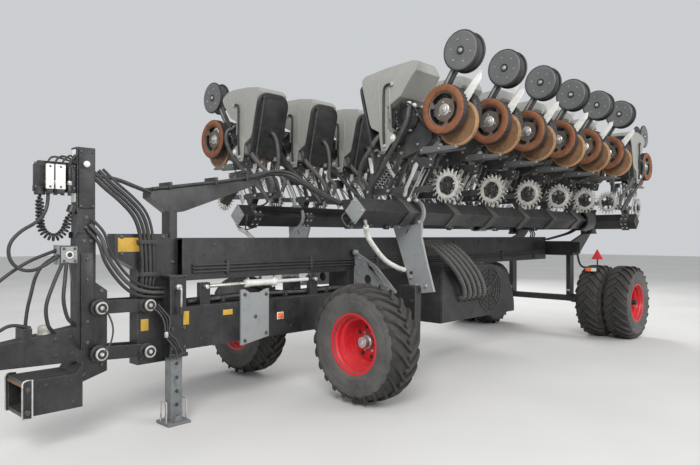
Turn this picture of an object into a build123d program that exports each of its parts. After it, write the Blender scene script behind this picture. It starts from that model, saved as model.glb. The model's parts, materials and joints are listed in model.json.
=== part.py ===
from build123d import *
from math import cos, pi, sin, sqrt, tan
import os

# Trailed sixteen-row precision planter, folded for the road.
# Millimetres. +X points to the rear, +Z up, the near side is -Y, the floor is Z = 0.
# The origin lies on the floor under the middle of the overall length.
# A row unit has its own axes: u runs away from its toolbar (to the rear at work, up when folded),
# v runs from the ground side to the hopper side, and w runs along the toolbar.

# Overall layout
LENGTH = 8820.0                # tow eye to the rearmost ground tool
FRONT_X = -LENGTH / 2          # front of the tow eye
ROW_SPACING = 700.0
FAR_ROW_LEAD = 430.0           # the far wing's rows stand this much further forward
WING_ROWS = 6
CENTRE_ROWS = 4
TOOLBAR_Z = 1580.0             # axis height of all three toolbars
TOOLBAR_SIDE = 150.0           # square tube, standing on its edge
TOOLBAR_WALL = 10.0
WING_Y = 800.0                 # axis of a folded wing toolbar from the centre line
GROUND_REACH = 820.0           # toolbar axis to the lowest ground tool, along v
CENTRE_X = LENGTH / 2 - GROUND_REACH
CENTRE_HALF = 1200.0           # half length of the centre toolbar
HINGE_Y = 630.0                # fold pin from the centre line
HINGE_X = CENTRE_X - (WING_Y - HINGE_Y)
ARM_REACH = 600.0              # fold pin to the blind end of the sleeve
WING_END_GAP = 610.0           # first row clamp of a wing to its free end
END_PLATE = 15.0
SHAFT_GAP = 0.3                # running gap of every shaft and pin
TURN_GAP = 0.4                 # toolbar corner to the bore that it turns in
COLLAR_WALL = 26.0

# Derived places
TOOLBAR_CORNER = TOOLBAR_SIDE / sqrt(2)
COLLAR_BORE = TOOLBAR_CORNER + TURN_GAP
COLLAR_RADIUS = COLLAR_BORE + COLLAR_WALL
CENTRE_ROW_Y = [(i - (CENTRE_ROWS - 1) / 2) * ROW_SPACING for i in range(CENTRE_ROWS)]
FIRST_SPREAD_Y = (CENTRE_ROWS + 1) / 2 * ROW_SPACING
LAST_ROW_X = HINGE_X - (FIRST_SPREAD_Y - HINGE_Y)
WING_ROW_X = [LAST_ROW_X - (WING_ROWS - 1 - i) * ROW_SPACING for i in range(WING_ROWS)]
WING_FRONT_X = WING_ROW_X[0] - WING_END_GAP

SLEEVE_WALL = 60.0             # blind end of the sleeve that a wing toolbar turns in
SLEEVE_LENGTH = 200.0
WING_REAR_X = HINGE_X - ARM_REACH - SLEEVE_WALL - 10

# Row unit, in (u, v, w)
CLAMP_WALL = 12.0
CLAMP_HALF_W = 50.0
POST_U = (165.0, 225.0)        # upright that carries the parallel arms
POST_V = (-60.0, 390.0)
POST_HALF_W = 40.0
PIVOTS = ((195.0, 120.0, 520.0, -30.0), (195.0, 360.0, 520.0, 225.0))
ARM_DEPTH = 46.0
ARM_W = (44.0, 56.0)
CLOSE_ROOT = (940.0, -400.0)
GAUGE_ROOT = (820.0, -320.0)
GAUGE_ARM_W = (20.0, 42.0)
CLEANER_STEM = (190.0, -50.0)
AXLE_BOSS = 27.0
GAUGE_UV = (820.0, -520.0)
GAUGE_RADIUS = 205.0
GAUGE_W = (48.0, 150.0)
GAUGE_BEVEL = 14.0
GAUGE_DISH = 42.0
GAUGE_RIM = 145.0
GAUGE_SLOTS = 3
GAUGE_SLOT_RADIUS = 98.0
GAUGE_SLOT_WIDTH = 40.0
GAUGE_SLOT_ARC = 62.0          # degrees
CLOSE_UV = (1290.0, -640.0)
CLOSE_RADIUS = 167.0
CLOSE_W = (38.0, 62.0)
OPENER_UV = (720.0, -580.0)
OPENER_RADIUS = 190.0
OPENER_W = (8.0, 14.0)
CLEANER_UV = (210.0, -480.0)
CLEANER_TIP = 145.0
CLEANER_ROOT = 112.0
CLEANER_TEETH = 12
CLEANER_W = (10.0, 18.0)
METER_UV = (810.0, -110.0)
METER_RADIUS = 120.0
METER_WIDTH = 70.0
HOPPER_HALF_W = 185.0
HOPPER_SHOULDER_U = 1150.0     # above this the hopper's sides lean in
HOPPER_TOP_HALF_W = 105.0
HOPPER_NECK = (640.0, 560.0)   # below the first of these the sides lean in, to the second
HOPPER_NECK_HALF_W = 120.0
LID_LIP = 8.0
HOPPER_OUTLINE = (
    (545, 30), (560, 180), (690, 205), (1190, 330), (1225, 315),
    (1290, -260), (1180, -280), (980, -120), (905, 30),
)
LID_OUTLINE = ((560, 180), (690, 205), (1190, 330), (1182, 362), (682, 238), (552, 212))
SHANK_OUTLINE = (
    (480, -60), (480, 262), (532, 262), (532, 30), (880, 30), (880, -290),
    (1010, -400), (960, -450), (860, -345), (600, -345), (540, -250),
)
BLADE_OUTLINE = ((620, -330), (770, -330), (770, -560), (755, -620), (690, -620), (670, -560))
BLADE_HALF_W = 6.0
OPENER_HUB = 30.0
FIRMER_OUTLINE = (
    (770, -520), (960, -640), (1100, -770), (1090, -820), (1040, -800), (900, -690), (770, -560),
)

# Wheels
TYRE_RADIUS = 485.0
TYRE_WIDTH = 320.0
TREAD_RADIUS = 458.0
BEAD_RADIUS = 226.0
BEAD_HALF_W = 128.0
LUGS = 18
LUG_WIDTH = 34.0
LUG_ROOT = 12.0                # lug sunk into the tread
LUG_SLANT = 32.0
RIM_FLANGE = 252.0
RIM_BARREL = 215.0
RIM_SHEET = 10.0
DISC_INSET = 95.0              # wheel face to the rim disc
HUB_RADIUS = 62.0
AXLE_RADIUS = 34.0
HUB_BORE = AXLE_RADIUS + SHAFT_GAP
WING_WHEEL_X = WING_FRONT_X + 110.0
WING_WHEEL_LIFT = 15.0
REAR_AXLE_X = CENTRE_X - 500
TWIN_Y = (860.0, 1230.0)

# Wheel brackets and legs of the wings: outlines run outboard and up from the toolbar axis
BRACKET_BACK = 140.0           # first row of the near wing to the front face of a bracket
BRACKET_X = WING_ROW_X[0] + BRACKET_BACK
BRACKET_THICK = 25.0
BRACKET_OUTLINE = (
    (-227, -113), (-98, -100), (56, -24), (106, -20), (95, -206), (160, -453), (236, -695), (-6, -729),
    (-75, -515),
)
LEG_TOP_Z = 1150.0
LEG_TOP_HALF_W = 110.0
LEG_FOOT_HALF_W = 90.0
LEG_DROP = 70.0                # hub centre to the foot of the leg
HUB_BOSS_RADIUS = 55.0
HUB_BOSS_GAP = 10.0            # boss to the side of the tyre
LEG_DEPTH = 90.0
AXLE_END = 60.0                # stub past the middle of the wheel

# Beams and what they carry
BEAM_HALF_W = 130.0
BEAM_WALL = 12.0
BEAM_Z = (1040.0, 1360.0)
BEAM_FRONT_X = FRONT_X + 1430
LOWER_HALF_W = 170.0
LOWER_Z = (535.0, 845.0)
LOWER_REAR_X = FRONT_X + 3410
SPACER_X = 200.0
RAM_Y = -100.0
RAM_Z = 985.0
RAM_EYE_X = (FRONT_X + 1630, FRONT_X + 2770)
RAM_EYE_RADIUS = 30.0
RAM_LUG_HALF = 45.0
RAM_STEPS = (                  # start, end, radius: rod, barrel, rear bar
    (RAM_EYE_X[0] + RAM_LUG_HALF, RAM_EYE_X[0] + 400, 14),
    (RAM_EYE_X[0] + 400, RAM_EYE_X[0] + 720, 36),
    (RAM_EYE_X[0] + 720, RAM_EYE_X[1] - RAM_LUG_HALF, 16),
)
SIDE_PLATE_THICK = 20.0
SIDE_PLATE_OUTLINE = [(FRONT_X + x, z) for x, z in (
    (1920, 500), (2200, 545), (2200, 940), (2165, 935), (2110, 912), (2010, 915), (1955, 945),
    (1920, 945),
)]
REST_X = LOWER_REAR_X - 115
REST_THICK = 15.0
REST_OUTLINE = ((BEAM_HALF_W, 1235), (414, 1092), (655, 868), (655, 850), (BEAM_HALF_W, 897))
REST_HOLE = (306.0, 960.0, 45.0)

# Rear frame, axle and fold hinges
CROSS_HALF_X = 100.0
CROSS_Z = (1100.0, 1300.0)
POST_PLATE_Y = (500.0, 535.0)
POST_REAR = 100.0              # toolbar axis to the rear corner of a post plate
POST_REAR_DROP = 130.0
POST_HALF_H = 180.0
PIN_RADIUS = 25.0
EAR_THICK = 30.0
EAR_GAP = 0.5
EAR_MARGIN = 10.0
KNUCKLE_HALF_H = 144.0
KNUCKLE_RADIUS = 60.0
ARM_LATERAL = (-75.0, 35.0)
ARM_HALF_H = 80.0
WEB_INSET = 4.0
HANGER_HALF_X = 60.0
AXLE_BEAM_HALF = 40.0
AXLE_BEAM_Y = 420.0
HANGER_OUT_Y = 480.0
AXLE_HUB_RADIUS = 60.0
AXLE_HUB_Y = 650.0
AXLE_TIP_Y = 1360.0

# Hitch: outlines in (x, z), x behind the front of the tow eye
HEAD_HALF_W = 60.0
HEADSTOCK_OUTLINE = [(FRONT_X + x, z) for x, z in (
    (1110, 450), (1430, 450), (1430, 1360), (1352, 1360), (1352, 1390), (945, 1390), (945, 1225), (1110, 1130),
)]
HITCH_HEAD_OUTLINE = [(FRONT_X + x, z) for x, z in (
    (690, 390), (890, 450), (890, 1000), (810, 1060), (810, 1380), (690, 1380), (690, 1310),
    (580, 1310), (580, 1190), (690, 1190),
)]
JACK_AT = (BEAM_FRONT_X - 70, -125.0)
JACK_HOUSING_SIDE = 130.0
JACK_HOUSING_Z = (490.0, 1080.0)
JACK_BORE = 90.0
JACK_GAP = 0.5
JACK_LEG_TOP = 1000.0
JACK_FOOT = 180.0
JACK_FOOT_THICK = 20.0
LINK_X = (FRONT_X + 820, FRONT_X + 1170)  # front and rear pins of the hitch head
LINK_Z = ((579.0, 550.0), (889.0, 880.0))
LINK_Y = (60.0, 85.0)
LINK_END = 40.0
LINK_DEPTH = 90.0
LINK_PIN_RADIUS = 42.0
LINK_PIN_HEAD = 50.0
MAST_X = (FRONT_X + 690, FRONT_X + 810)
MAST_Z = (1380.0, 1970.0)
MAST_HALF_W = 50.0
RACK_X = (FRONT_X + 420, MAST_X[0])
RACK_Y = (-35.0, -5.0)
RACK_Z = (1660.0, 1860.0)
COUPLERS = 4
COUPLER_RADIUS = 16.0
COUPLER_LENGTH = 190.0
COUPLER_DROP = 20.0
COUPLER_FIRST_X = RACK_X[0] + 85.0
COUPLER_SPACING = 45.0
SOCKET_RADIUS = 34.0
SOCKET_X = RACK_X[0] + 45.0
SOCKET_Y = -20.0
NECK_OUTLINE = [(FRONT_X + x, z) for x, z in (
    (120, 560), (690, 540), (690, 770), (410, 731), (410, 790), (350, 790), (350, 722),
    (120, 690),
)]
EYE_Z = 600.0
EYE_RADIUS = 70.0
EYE_SHANK = 55.0
EYE_BORE = 28.0
EYE_THICK = 45.0
HITCH_BOX_TOP = 480.0
HITCH_BOX_OUTLINE = [(FRONT_X + x, z) for x, z in (
    (330, 260), (690, 260), (690, 540), (650, HITCH_BOX_TOP), (330, HITCH_BOX_TOP),
)]
HITCH_BOX_HALF_W = 145.0
BOX_WALL = 22.0
BOX_DEPTH = 160.0

# Fan, air ducts and hose tray
FAN_X = (-120.0, 1450.0)
FAN_Z = (450.0, 1040.0)
FAN_SHOULDER = (900.0, 1330.0, 830.0)
FAN_HALF_W = 450.0
DUCTS = 5
DUCT_SPACING = 100.0
DUCT_RADIUS = 30.0
DUCT_BENDS = (150.0, 200.0, 70.0)
DUCT_ROUTE = (                 # x, outboard, z
    (-330, BEAM_HALF_W, 1290), (-330, 480, 1290), (0, 530, 980), (230, 530, 690), (230, FAN_HALF_W, 690),
)
TRAY_HALF_W = 60.0
TRAY_OUTLINE = [(FRONT_X + x, z) for x, z in (
    (1210, 1655), (1370, 1545), (1480, 1560), (2180, 1808), (2180, 1851), (1210, 1697),
)]
TRAY_POST_X = (FRONT_X + 1365, FRONT_X + 1425)
TRAY_POST_TOP = 1600.0

# Free hoses: diameter, then the points of the route
HOSE_SIZE = 22.0
CURLY_SIZE = 56.0
FERRULE_WALL = 3.0
FERRULE_LENGTH = 45.0
CLAMP_END_X = HITCH_HEAD_OUTLINE[7][0] - 14
NECK_END_Z = NECK_OUTLINE[4][1] + 14
COUPLER_FOOT = (COUPLER_FIRST_X, RACK_Y[0] - COUPLER_RADIUS, RACK_Z[0] - COUPLER_DROP)
CORDS = {
    "curly_cable": (CURLY_SIZE, (
        (SOCKET_X, SOCKET_Y, RACK_Z[0] - COUPLER_DROP), (SOCKET_X, SOCKET_Y, 1520),
        (SOCKET_X + 8, SOCKET_Y, 1402), (SOCKET_X + 90, SOCKET_Y, 1352), (SOCKET_X + 155, SOCKET_Y, 1402),
        (SOCKET_X + 175, SOCKET_Y, 1475), (MAST_X[0] - 30, SOCKET_Y, 1530),
    )),
    "loop_hose": (HOSE_SIZE, (
        COUPLER_FOOT, (COUPLER_FOOT[0], COUPLER_FOOT[1], 1550), (FRONT_X + 435, -75, 1462),
        (FRONT_X + 330, -85, 1405), (FRONT_X + 260, -88, 1320), (FRONT_X + 270, -85, 1215),
        (FRONT_X + 355, -70, 1150), (FRONT_X + 465, -50, 1165), (CLAMP_END_X, -35, 1235),
    )),
    "front_hose": (HOSE_SIZE, (
        (CLAMP_END_X, 5, 1275), (FRONT_X + 450, 0, 1235), (FRONT_X + 330, -15, 1170),
        (FRONT_X + 210, -25, 1080), (FRONT_X + 120, -30, 985), (FRONT_X + 80, -30, 880),
        (FRONT_X + 120, -30, 800), (FRONT_X + 210, -30, 775), (FRONT_X + 295, -30, 830),
        (FRONT_X + 365, -30, NECK_END_Z),
    )),
    "neck_hose": (HOSE_SIZE, (
        (CLAMP_END_X, 35, 1225), (FRONT_X + 500, 30, 1190), (FRONT_X + 450, 20, 1105),
        (FRONT_X + 425, 10, 1000), (FRONT_X + 400, 10, 900), (FRONT_X + 392, 10, NECK_END_Z),
    )),
}

os.makedirs("parts", exist_ok=True)


def keep(piece, label):
    """Name a finished piece and write its file."""
    piece.part.label = label
    export_step(piece.part, f"parts/{label}.step")


def wing_planes(side):
    """Row planes of a wing: side is -1 for the near wing and 1 for the far one."""
    lead = FAR_ROW_LEAD if side > 0 else 0
    return [
        Plane(origin=(x - lead, side * WING_Y, TOOLBAR_Z), x_dir=(0, 0, 1), z_dir=(side, 0, 0))
        for x in WING_ROW_X
    ]


def centre_planes():
    """Row planes of the centre toolbar, whose ground side faces the rear."""
    return [
        Plane(origin=(CENTRE_X, y, TOOLBAR_Z), x_dir=(0, 0, 1), z_dir=(0, -1, 0))
        for y in CENTRE_ROW_Y
    ]


def bar(u0, v0, u1, v1, depth):
    """Four corners of a straight bar between two points."""
    length = sqrt((u1 - u0) ** 2 + (v1 - v0) ** 2)
    nu, nv = -(v1 - v0) / length * depth / 2, (u1 - u0) / length * depth / 2
    return [(u0 + nu, v0 + nv), (u1 + nu, v1 + nv), (u1 - nu, v1 - nv), (u0 - nu, v0 - nv)]


def slab(outline, w0, w1, mode=Mode.ADD):
    """Extrude one outline in (u, v) between two distances along the toolbar."""
    with BuildSketch(Plane.XY.offset(w0)) as profile:
        Polygon(*outline, align=None)
    extrude(profile.sketch, amount=w1 - w0, mode=mode)


def disc(centre, radius, w0, w1, taper=0, mode=Mode.ADD):
    """A round slab about one point in (u, v) between two distances along the toolbar."""
    with BuildSketch(Plane.XY.offset(w0)) as profile:
        with Locations(centre):
            Circle(radius)
    extrude(profile.sketch, amount=w1 - w0, taper=taper, mode=mode)


def row_frames():
    """Toolbar clamp, upright, parallel arms and shank with the stubs that carry the wheels."""
    clamp = TOOLBAR_CORNER + CLAMP_WALL * sqrt(2)
    with BuildPart() as frames:
        slab(((clamp, 0), (0, clamp), (-clamp, 0), (0, -clamp)), -CLAMP_HALF_W, CLAMP_HALF_W)
        slab(
            ((TOOLBAR_CORNER, 0), (0, TOOLBAR_CORNER), (-TOOLBAR_CORNER, 0), (0, -TOOLBAR_CORNER)),
            -CLAMP_HALF_W, CLAMP_HALF_W, mode=Mode.SUBTRACT,
        )
        foot = ((TOOLBAR_CORNER, -20), (TOOLBAR_CORNER, 20), (POST_U[0] + 10, 60), (POST_U[0] + 10, -60))
        slab(foot, -POST_HALF_W, POST_HALF_W)
        post = (
            (POST_U[0], POST_V[0]), (POST_U[1], POST_V[0]), (POST_U[1], POST_V[1]), (POST_U[0], POST_V[1]),
        )
        slab(post, -ARM_W[0], ARM_W[0])
        slab(SHANK_OUTLINE, -ARM_W[0], ARM_W[0])
        for pivot in PIVOTS:
            for side in (-1, 1):
                slab(bar(*pivot, ARM_DEPTH), side * ARM_W[0], side * ARM_W[1])
        slab(bar(*CLOSE_ROOT, *CLOSE_UV, 60), -16, 16)
        disc(CLOSE_UV, AXLE_BOSS, -CLOSE_W[0], CLOSE_W[0])
        slab(BLADE_OUTLINE, -BLADE_HALF_W, BLADE_HALF_W)
        for side in (-1, 1):
            slab(bar(*GAUGE_ROOT, *GAUGE_UV, 60), side * GAUGE_ARM_W[0], side * GAUGE_ARM_W[1])
            disc(GAUGE_UV, AXLE_BOSS, side * GAUGE_ARM_W[0], side * (GAUGE_W[1] - GAUGE_DISH))
        slab(bar(*CLEANER_STEM, *CLEANER_UV, 50), -CLEANER_W[0], CLEANER_W[0])
    return frames.part


def row_hoppers():
    """A seed hopper whose sides lean in above its shoulder and below its neck."""
    top_u = max(u for u, v in HOPPER_OUTLINE)
    low_u = min(u for u, v in HOPPER_OUTLINE)
    front_v = max(v for u, v in HOPPER_OUTLINE)
    back_v = min(v for u, v in HOPPER_OUTLINE)
    sides = [
        (low_u, HOPPER_NECK_HALF_W), (HOPPER_NECK[1], HOPPER_NECK_HALF_W), (HOPPER_NECK[0], HOPPER_HALF_W),
        (HOPPER_SHOULDER_U, HOPPER_HALF_W), (top_u, HOPPER_TOP_HALF_W),
    ]
    with BuildPart() as hoppers:
        slab(HOPPER_OUTLINE, -HOPPER_HALF_W, HOPPER_HALF_W)
        with BuildSketch(Plane(origin=(0, back_v, 0), x_dir=(1, 0, 0), z_dir=(0, -1, 0))) as across:
            Polygon(*sides, *[(u, -w) for u, w in reversed(sides)], align=None)
        extrude(across.sketch, amount=back_v - front_v, mode=Mode.INTERSECT)
    return hoppers.part


def row_lids_and_meters():
    """The hopper's lid, and a round metering housing on each side of the shank."""
    with BuildPart() as housings:
        slab(LID_OUTLINE, -HOPPER_HALF_W - LID_LIP, HOPPER_HALF_W + LID_LIP)
        for side in (-1, 1):
            disc(METER_UV, METER_RADIUS, side * ARM_W[0], side * (ARM_W[0] + METER_WIDTH))
    return housings.part


def row_firmers():
    with BuildPart() as firmers:
        slab(FIRMER_OUTLINE, -BLADE_HALF_W, BLADE_HALF_W)
    return firmers.part


def row_gauge_wheels():
    """Two tyred wheels beside the openers of each row, all on one axis."""
    with BuildPart() as wheels:
        for side in (-1, 1):
            shoulder = side * (GAUGE_W[1] - GAUGE_BEVEL)
            disc(GAUGE_UV, GAUGE_RADIUS, side * GAUGE_W[0], shoulder)
            disc(GAUGE_UV, GAUGE_RADIUS, shoulder, side * GAUGE_W[1], taper=45)
            disc(
                GAUGE_UV, GAUGE_RIM, side * (GAUGE_W[1] - GAUGE_DISH), side * GAUGE_W[1],
                mode=Mode.SUBTRACT,
            )
            disc(GAUGE_UV, AXLE_BOSS + SHAFT_GAP, 0, side * GAUGE_W[1], mode=Mode.SUBTRACT)
            with BuildSketch(Plane.XY.offset(side * GAUGE_W[0])) as slots:
                with Locations(GAUGE_UV):
                    for i in range(GAUGE_SLOTS):
                        start = i * 360 / GAUGE_SLOTS
                        SlotArc(CenterArc((0, 0), GAUGE_SLOT_RADIUS, start, GAUGE_SLOT_ARC), GAUGE_SLOT_WIDTH)
            extrude(slots.sketch, amount=side * (GAUGE_W[1] - GAUGE_W[0]), mode=Mode.SUBTRACT)
    return wheels.part


def row_closing_wheels():
    with BuildPart() as wheels:
        for side in (-1, 1):
            disc(CLOSE_UV, CLOSE_RADIUS, side * CLOSE_W[0], side * CLOSE_W[1])
    return wheels.part


def row_ground_discs():
    """The pair of opener discs, and the pair of toothed rings that clear the row."""
    outline = []
    for i in range(CLEANER_TEETH):
        angle = 2 * pi * i / CLEANER_TEETH
        for radius, turn in ((CLEANER_TIP, angle), (CLEANER_ROOT, angle + pi / CLEANER_TEETH)):
            outline.append((CLEANER_UV[0] + radius * cos(turn), CLEANER_UV[1] + radius * sin(turn)))
    with BuildPart() as discs:
        for side in (-1, 1):
            disc(OPENER_UV, OPENER_HUB, side * BLADE_HALF_W, side * OPENER_W[0])
            disc(OPENER_UV, OPENER_RADIUS, side * OPENER_W[0], side * OPENER_W[1])
            slab(outline, side * CLEANER_W[0], side * CLEANER_W[1])
    return discs.part


UNIT_PIECES = (
    ("row_frames", row_frames()),
    ("hoppers", row_hoppers()),
    ("lids_and_meters", row_lids_and_meters()),
    ("ground_discs", row_ground_discs()),
    ("seed_firmers", row_firmers()),
    ("gauge_wheels", row_gauge_wheels()),
    ("closing_wheels", row_closing_wheels()),
)
BANKS = (("near", wing_planes(-1)), ("far", wing_planes(1)), ("centre", centre_planes()))
for bank, planes in BANKS:
    for piece_name, unit_piece in UNIT_PIECES:
        with BuildPart() as row_pieces:
            with Locations(*[plane.location for plane in planes]):
                add(unit_piece)
        keep(row_pieces, f"{bank}_{piece_name}")


def lugged_tyre():
    """A tyre about the Z axis with slanted lugs, left and right in turn."""
    half = TYRE_WIDTH / 2
    with BuildPart() as tyre:
        with BuildSketch(Plane.XZ):
            Polygon(
                (BEAD_RADIUS, -BEAD_HALF_W), (RIM_FLANGE + 2, -BEAD_HALF_W), (BEAD_RADIUS + 80, -half),
                (TREAD_RADIUS - 60, -half), (TREAD_RADIUS, -half + 30), (TREAD_RADIUS, half - 30),
                (TREAD_RADIUS - 60, half), (BEAD_RADIUS + 80, half), (RIM_FLANGE + 2, BEAD_HALF_W),
                (BEAD_RADIUS, BEAD_HALF_W), align=None,
            )
        revolve(axis=Axis.Z)
        lug_depth = TYRE_RADIUS - TREAD_RADIUS + LUG_ROOT
        for side in (-1, 1):
            with Locations(Plane.XY.offset(side * half * 0.46)):
                with PolarLocations(TYRE_RADIUS - lug_depth / 2, LUGS, start_angle=side * 90 / LUGS):
                    Box(lug_depth, LUG_WIDTH, half, rotation=(side * LUG_SLANT, 0, 0))
        rim_ring = TYRE_RADIUS + 5
        with BuildSketch(Plane.XY.offset(-half)):
            Circle(rim_ring + 40)
            Circle(TYRE_RADIUS, mode=Mode.SUBTRACT)
        extrude(amount=2 * half, mode=Mode.SUBTRACT)
    return tyre.part


def dished_rim():
    """A rim about the Z axis whose disc stands back from its outer face."""
    edge = BEAD_HALF_W + 2 + RIM_SHEET
    face = TYRE_WIDTH / 2 - DISC_INSET
    barrel = RIM_BARREL + RIM_SHEET
    with BuildPart() as rim:
        with BuildSketch(Plane.XZ):
            Polygon(
                (HUB_BORE, face - 60), (HUB_BORE, face + 45), (HUB_RADIUS, face + 45), (HUB_RADIUS, face),
                (RIM_BARREL, face), (RIM_BARREL, edge), (RIM_FLANGE, edge), (RIM_FLANGE, edge - RIM_SHEET),
                (barrel, edge - RIM_SHEET), (barrel, RIM_SHEET - edge), (RIM_FLANGE, RIM_SHEET - edge),
                (RIM_FLANGE, -edge), (RIM_BARREL, -edge), (RIM_BARREL, face - RIM_SHEET),
                (HUB_RADIUS, face - RIM_SHEET), (HUB_RADIUS, face - 60), align=None,
            )
        revolve(axis=Axis.Z)
    return rim.part


TYRE_FORM = lugged_tyre()
RIM_FORM = dished_rim()
for name, side in (("near", -1), ("far", 1)):
    wing_hub = Plane(
        origin=(WING_WHEEL_X, side * WING_Y, TYRE_RADIUS + WING_WHEEL_LIFT), x_dir=(0, 0, 1), z_dir=(-1, 0, 0)
    )
    rear_hubs = [
        Plane(origin=(REAR_AXLE_X, side * y, TYRE_RADIUS), x_dir=(0, 0, 1), z_dir=(0, side, 0)) for y in TWIN_Y
    ]
    for place, hubs in (("wing", [wing_hub]), ("rear", rear_hubs)):
        for form_name, form in (("tyre", TYRE_FORM), ("rim", RIM_FORM)):
            with BuildPart() as wheel_piece:
                with Locations(*[hub.location for hub in hubs]):
                    add(form)
            keep(wheel_piece, f"{name}_{place}_{form_name}")


def toolbar(end_plane, length, label):
    """A square tube on its edge with a plate across each end."""
    inside = TOOLBAR_SIDE - 2 * TOOLBAR_WALL
    with BuildPart() as tube:
        with BuildSketch(end_plane):
            Rectangle(TOOLBAR_SIDE, TOOLBAR_SIDE, rotation=45)
        extrude(amount=length)
        with BuildSketch(end_plane.offset(END_PLATE)):
            Rectangle(inside, inside, rotation=45)
        extrude(amount=length - 2 * END_PLATE, mode=Mode.SUBTRACT)
    keep(tube, label)


for name, side in (("near", -1), ("far", 1)):
    rear_end = Plane(origin=(WING_REAR_X, side * WING_Y, TOOLBAR_Z), x_dir=(0, 0, 1), z_dir=(-1, 0, 0))
    toolbar(rear_end, WING_REAR_X - WING_FRONT_X, f"{name}_toolbar")
centre_end = Plane(origin=(CENTRE_X, -CENTRE_HALF, TOOLBAR_Z), x_dir=(0, 0, 1), z_dir=(0, 1, 0))
toolbar(centre_end, 2 * CENTRE_HALF, "centre_toolbar")

for name, side in (("near", -1), ("far", 1)):
    inner, outer = (side * (HINGE_Y + v) for v in ARM_LATERAL)
    with BuildPart() as fold_arm:
        with BuildSketch(Plane.XY.offset(TOOLBAR_Z - KNUCKLE_HALF_H)):
            with Locations((HINGE_X, side * HINGE_Y)):
                Circle(KNUCKLE_RADIUS)
        extrude(amount=2 * KNUCKLE_HALF_H)
        with BuildSketch(Plane.XY.offset(TOOLBAR_Z - ARM_HALF_H)):
            with BuildLine():
                Polyline(
                    (HINGE_X, inner), (HINGE_X, outer), (HINGE_X - ARM_REACH, outer),
                    (HINGE_X - ARM_REACH, inner), close=True,
                )
            make_face()
        extrude(amount=2 * ARM_HALF_H)
        wall = Plane(origin=(HINGE_X - ARM_REACH, 0, TOOLBAR_Z), x_dir=(0, 1, 0), z_dir=(-1, 0, 0))
        with BuildSketch(wall):
            with Locations((side * WING_Y, 0)):
                Circle(COLLAR_RADIUS)
            with BuildLine():
                Polyline(
                    (inner, -ARM_HALF_H), (inner, ARM_HALF_H), (side * WING_Y, COLLAR_RADIUS - WEB_INSET),
                    (side * WING_Y, WEB_INSET - COLLAR_RADIUS), close=True,
                )
            make_face()
        extrude(amount=SLEEVE_WALL)
        with BuildSketch(wall.offset(SLEEVE_WALL)):
            with Locations((side * WING_Y, 0)):
                Circle(COLLAR_RADIUS)
                Circle(COLLAR_BORE, mode=Mode.SUBTRACT)
        extrude(amount=SLEEVE_LENGTH)
        with BuildSketch(Plane.XY.offset(TOOLBAR_Z - KNUCKLE_HALF_H)):
            with Locations((HINGE_X, side * HINGE_Y)):
                Circle(PIN_RADIUS + SHAFT_GAP)
        extrude(amount=2 * KNUCKLE_HALF_H, mode=Mode.SUBTRACT)
    keep(fold_arm, f"{name}_fold_arm")

    axis_y = side * WING_Y
    hub_z = TYRE_RADIUS + WING_WHEEL_LIFT
    with BuildPart() as wheel_bracket:
        with BuildSketch(Plane(origin=(BRACKET_X, 0, TOOLBAR_Z), x_dir=(0, 1, 0), z_dir=(1, 0, 0))):
            Polygon(*[(axis_y + side * out, up) for out, up in BRACKET_OUTLINE], align=None)
            with Locations((axis_y, 0)):
                Circle(COLLAR_RADIUS)
                Circle(COLLAR_BORE, mode=Mode.SUBTRACT)
        extrude(amount=BRACKET_THICK)
    keep(wheel_bracket, f"{name}_wheel_bracket")

    with BuildPart() as wheel_leg:
        leg_plane = Plane(origin=(BRACKET_X, 0, 0), x_dir=(0, 1, 0), z_dir=(1, 0, 0))
        with BuildSketch(leg_plane):
            Polygon(
                (axis_y - LEG_FOOT_HALF_W, hub_z - LEG_DROP), (axis_y + LEG_FOOT_HALF_W, hub_z - LEG_DROP),
                (axis_y + LEG_TOP_HALF_W, LEG_TOP_Z), (axis_y - LEG_TOP_HALF_W, LEG_TOP_Z), align=None,
            )
        extrude(amount=-LEG_DEPTH)
        leg_front = BRACKET_X - LEG_DEPTH
        with BuildSketch(leg_plane.offset(-LEG_DEPTH)):
            with Locations((axis_y, hub_z)):
                Circle(HUB_BOSS_RADIUS)
        extrude(amount=WING_WHEEL_X + TYRE_WIDTH / 2 + HUB_BOSS_GAP - leg_front)
        with BuildSketch(leg_plane.offset(-LEG_DEPTH)):
            with Locations((axis_y, hub_z)):
                Circle(AXLE_RADIUS)
        extrude(amount=WING_WHEEL_X - AXLE_END - leg_front)
    keep(wheel_leg, f"{name}_wheel_leg")


def tube(section_x, half_w, z_range, length, wall):
    """A rectangular tube along X from one cross-section plane."""
    height = z_range[1] - z_range[0]
    with BuildSketch(Plane(origin=(section_x, 0, sum(z_range) / 2), x_dir=(0, 1, 0), z_dir=(1, 0, 0))) as profile:
        Rectangle(2 * half_w, height)
        Rectangle(2 * (half_w - wall), height - 2 * wall, mode=Mode.SUBTRACT)
    extrude(profile.sketch, amount=length)


def side_slab(outline, y0, y1, mode=Mode.ADD):
    """Extrude one outline in (x, z) from one distance across to another."""
    with BuildSketch(Plane.XZ.offset(-y0)) as profile:
        Polygon(*outline, align=None)
    extrude(profile.sketch, amount=y0 - y1, mode=mode)


def side_disc(x, z, radius, y0, y1, mode=Mode.ADD):
    """A round slab about an axis across the machine."""
    with BuildSketch(Plane.XZ.offset(-y0)) as profile:
        with Locations((x, z)):
            Circle(radius)
    extrude(profile.sketch, amount=y0 - y1, mode=mode)


with BuildPart() as main_beam:
    tube(BEAM_FRONT_X, BEAM_HALF_W, BEAM_Z, REAR_AXLE_X - CROSS_HALF_X - BEAM_FRONT_X, BEAM_WALL)
keep(main_beam, "main_beam")

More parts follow.
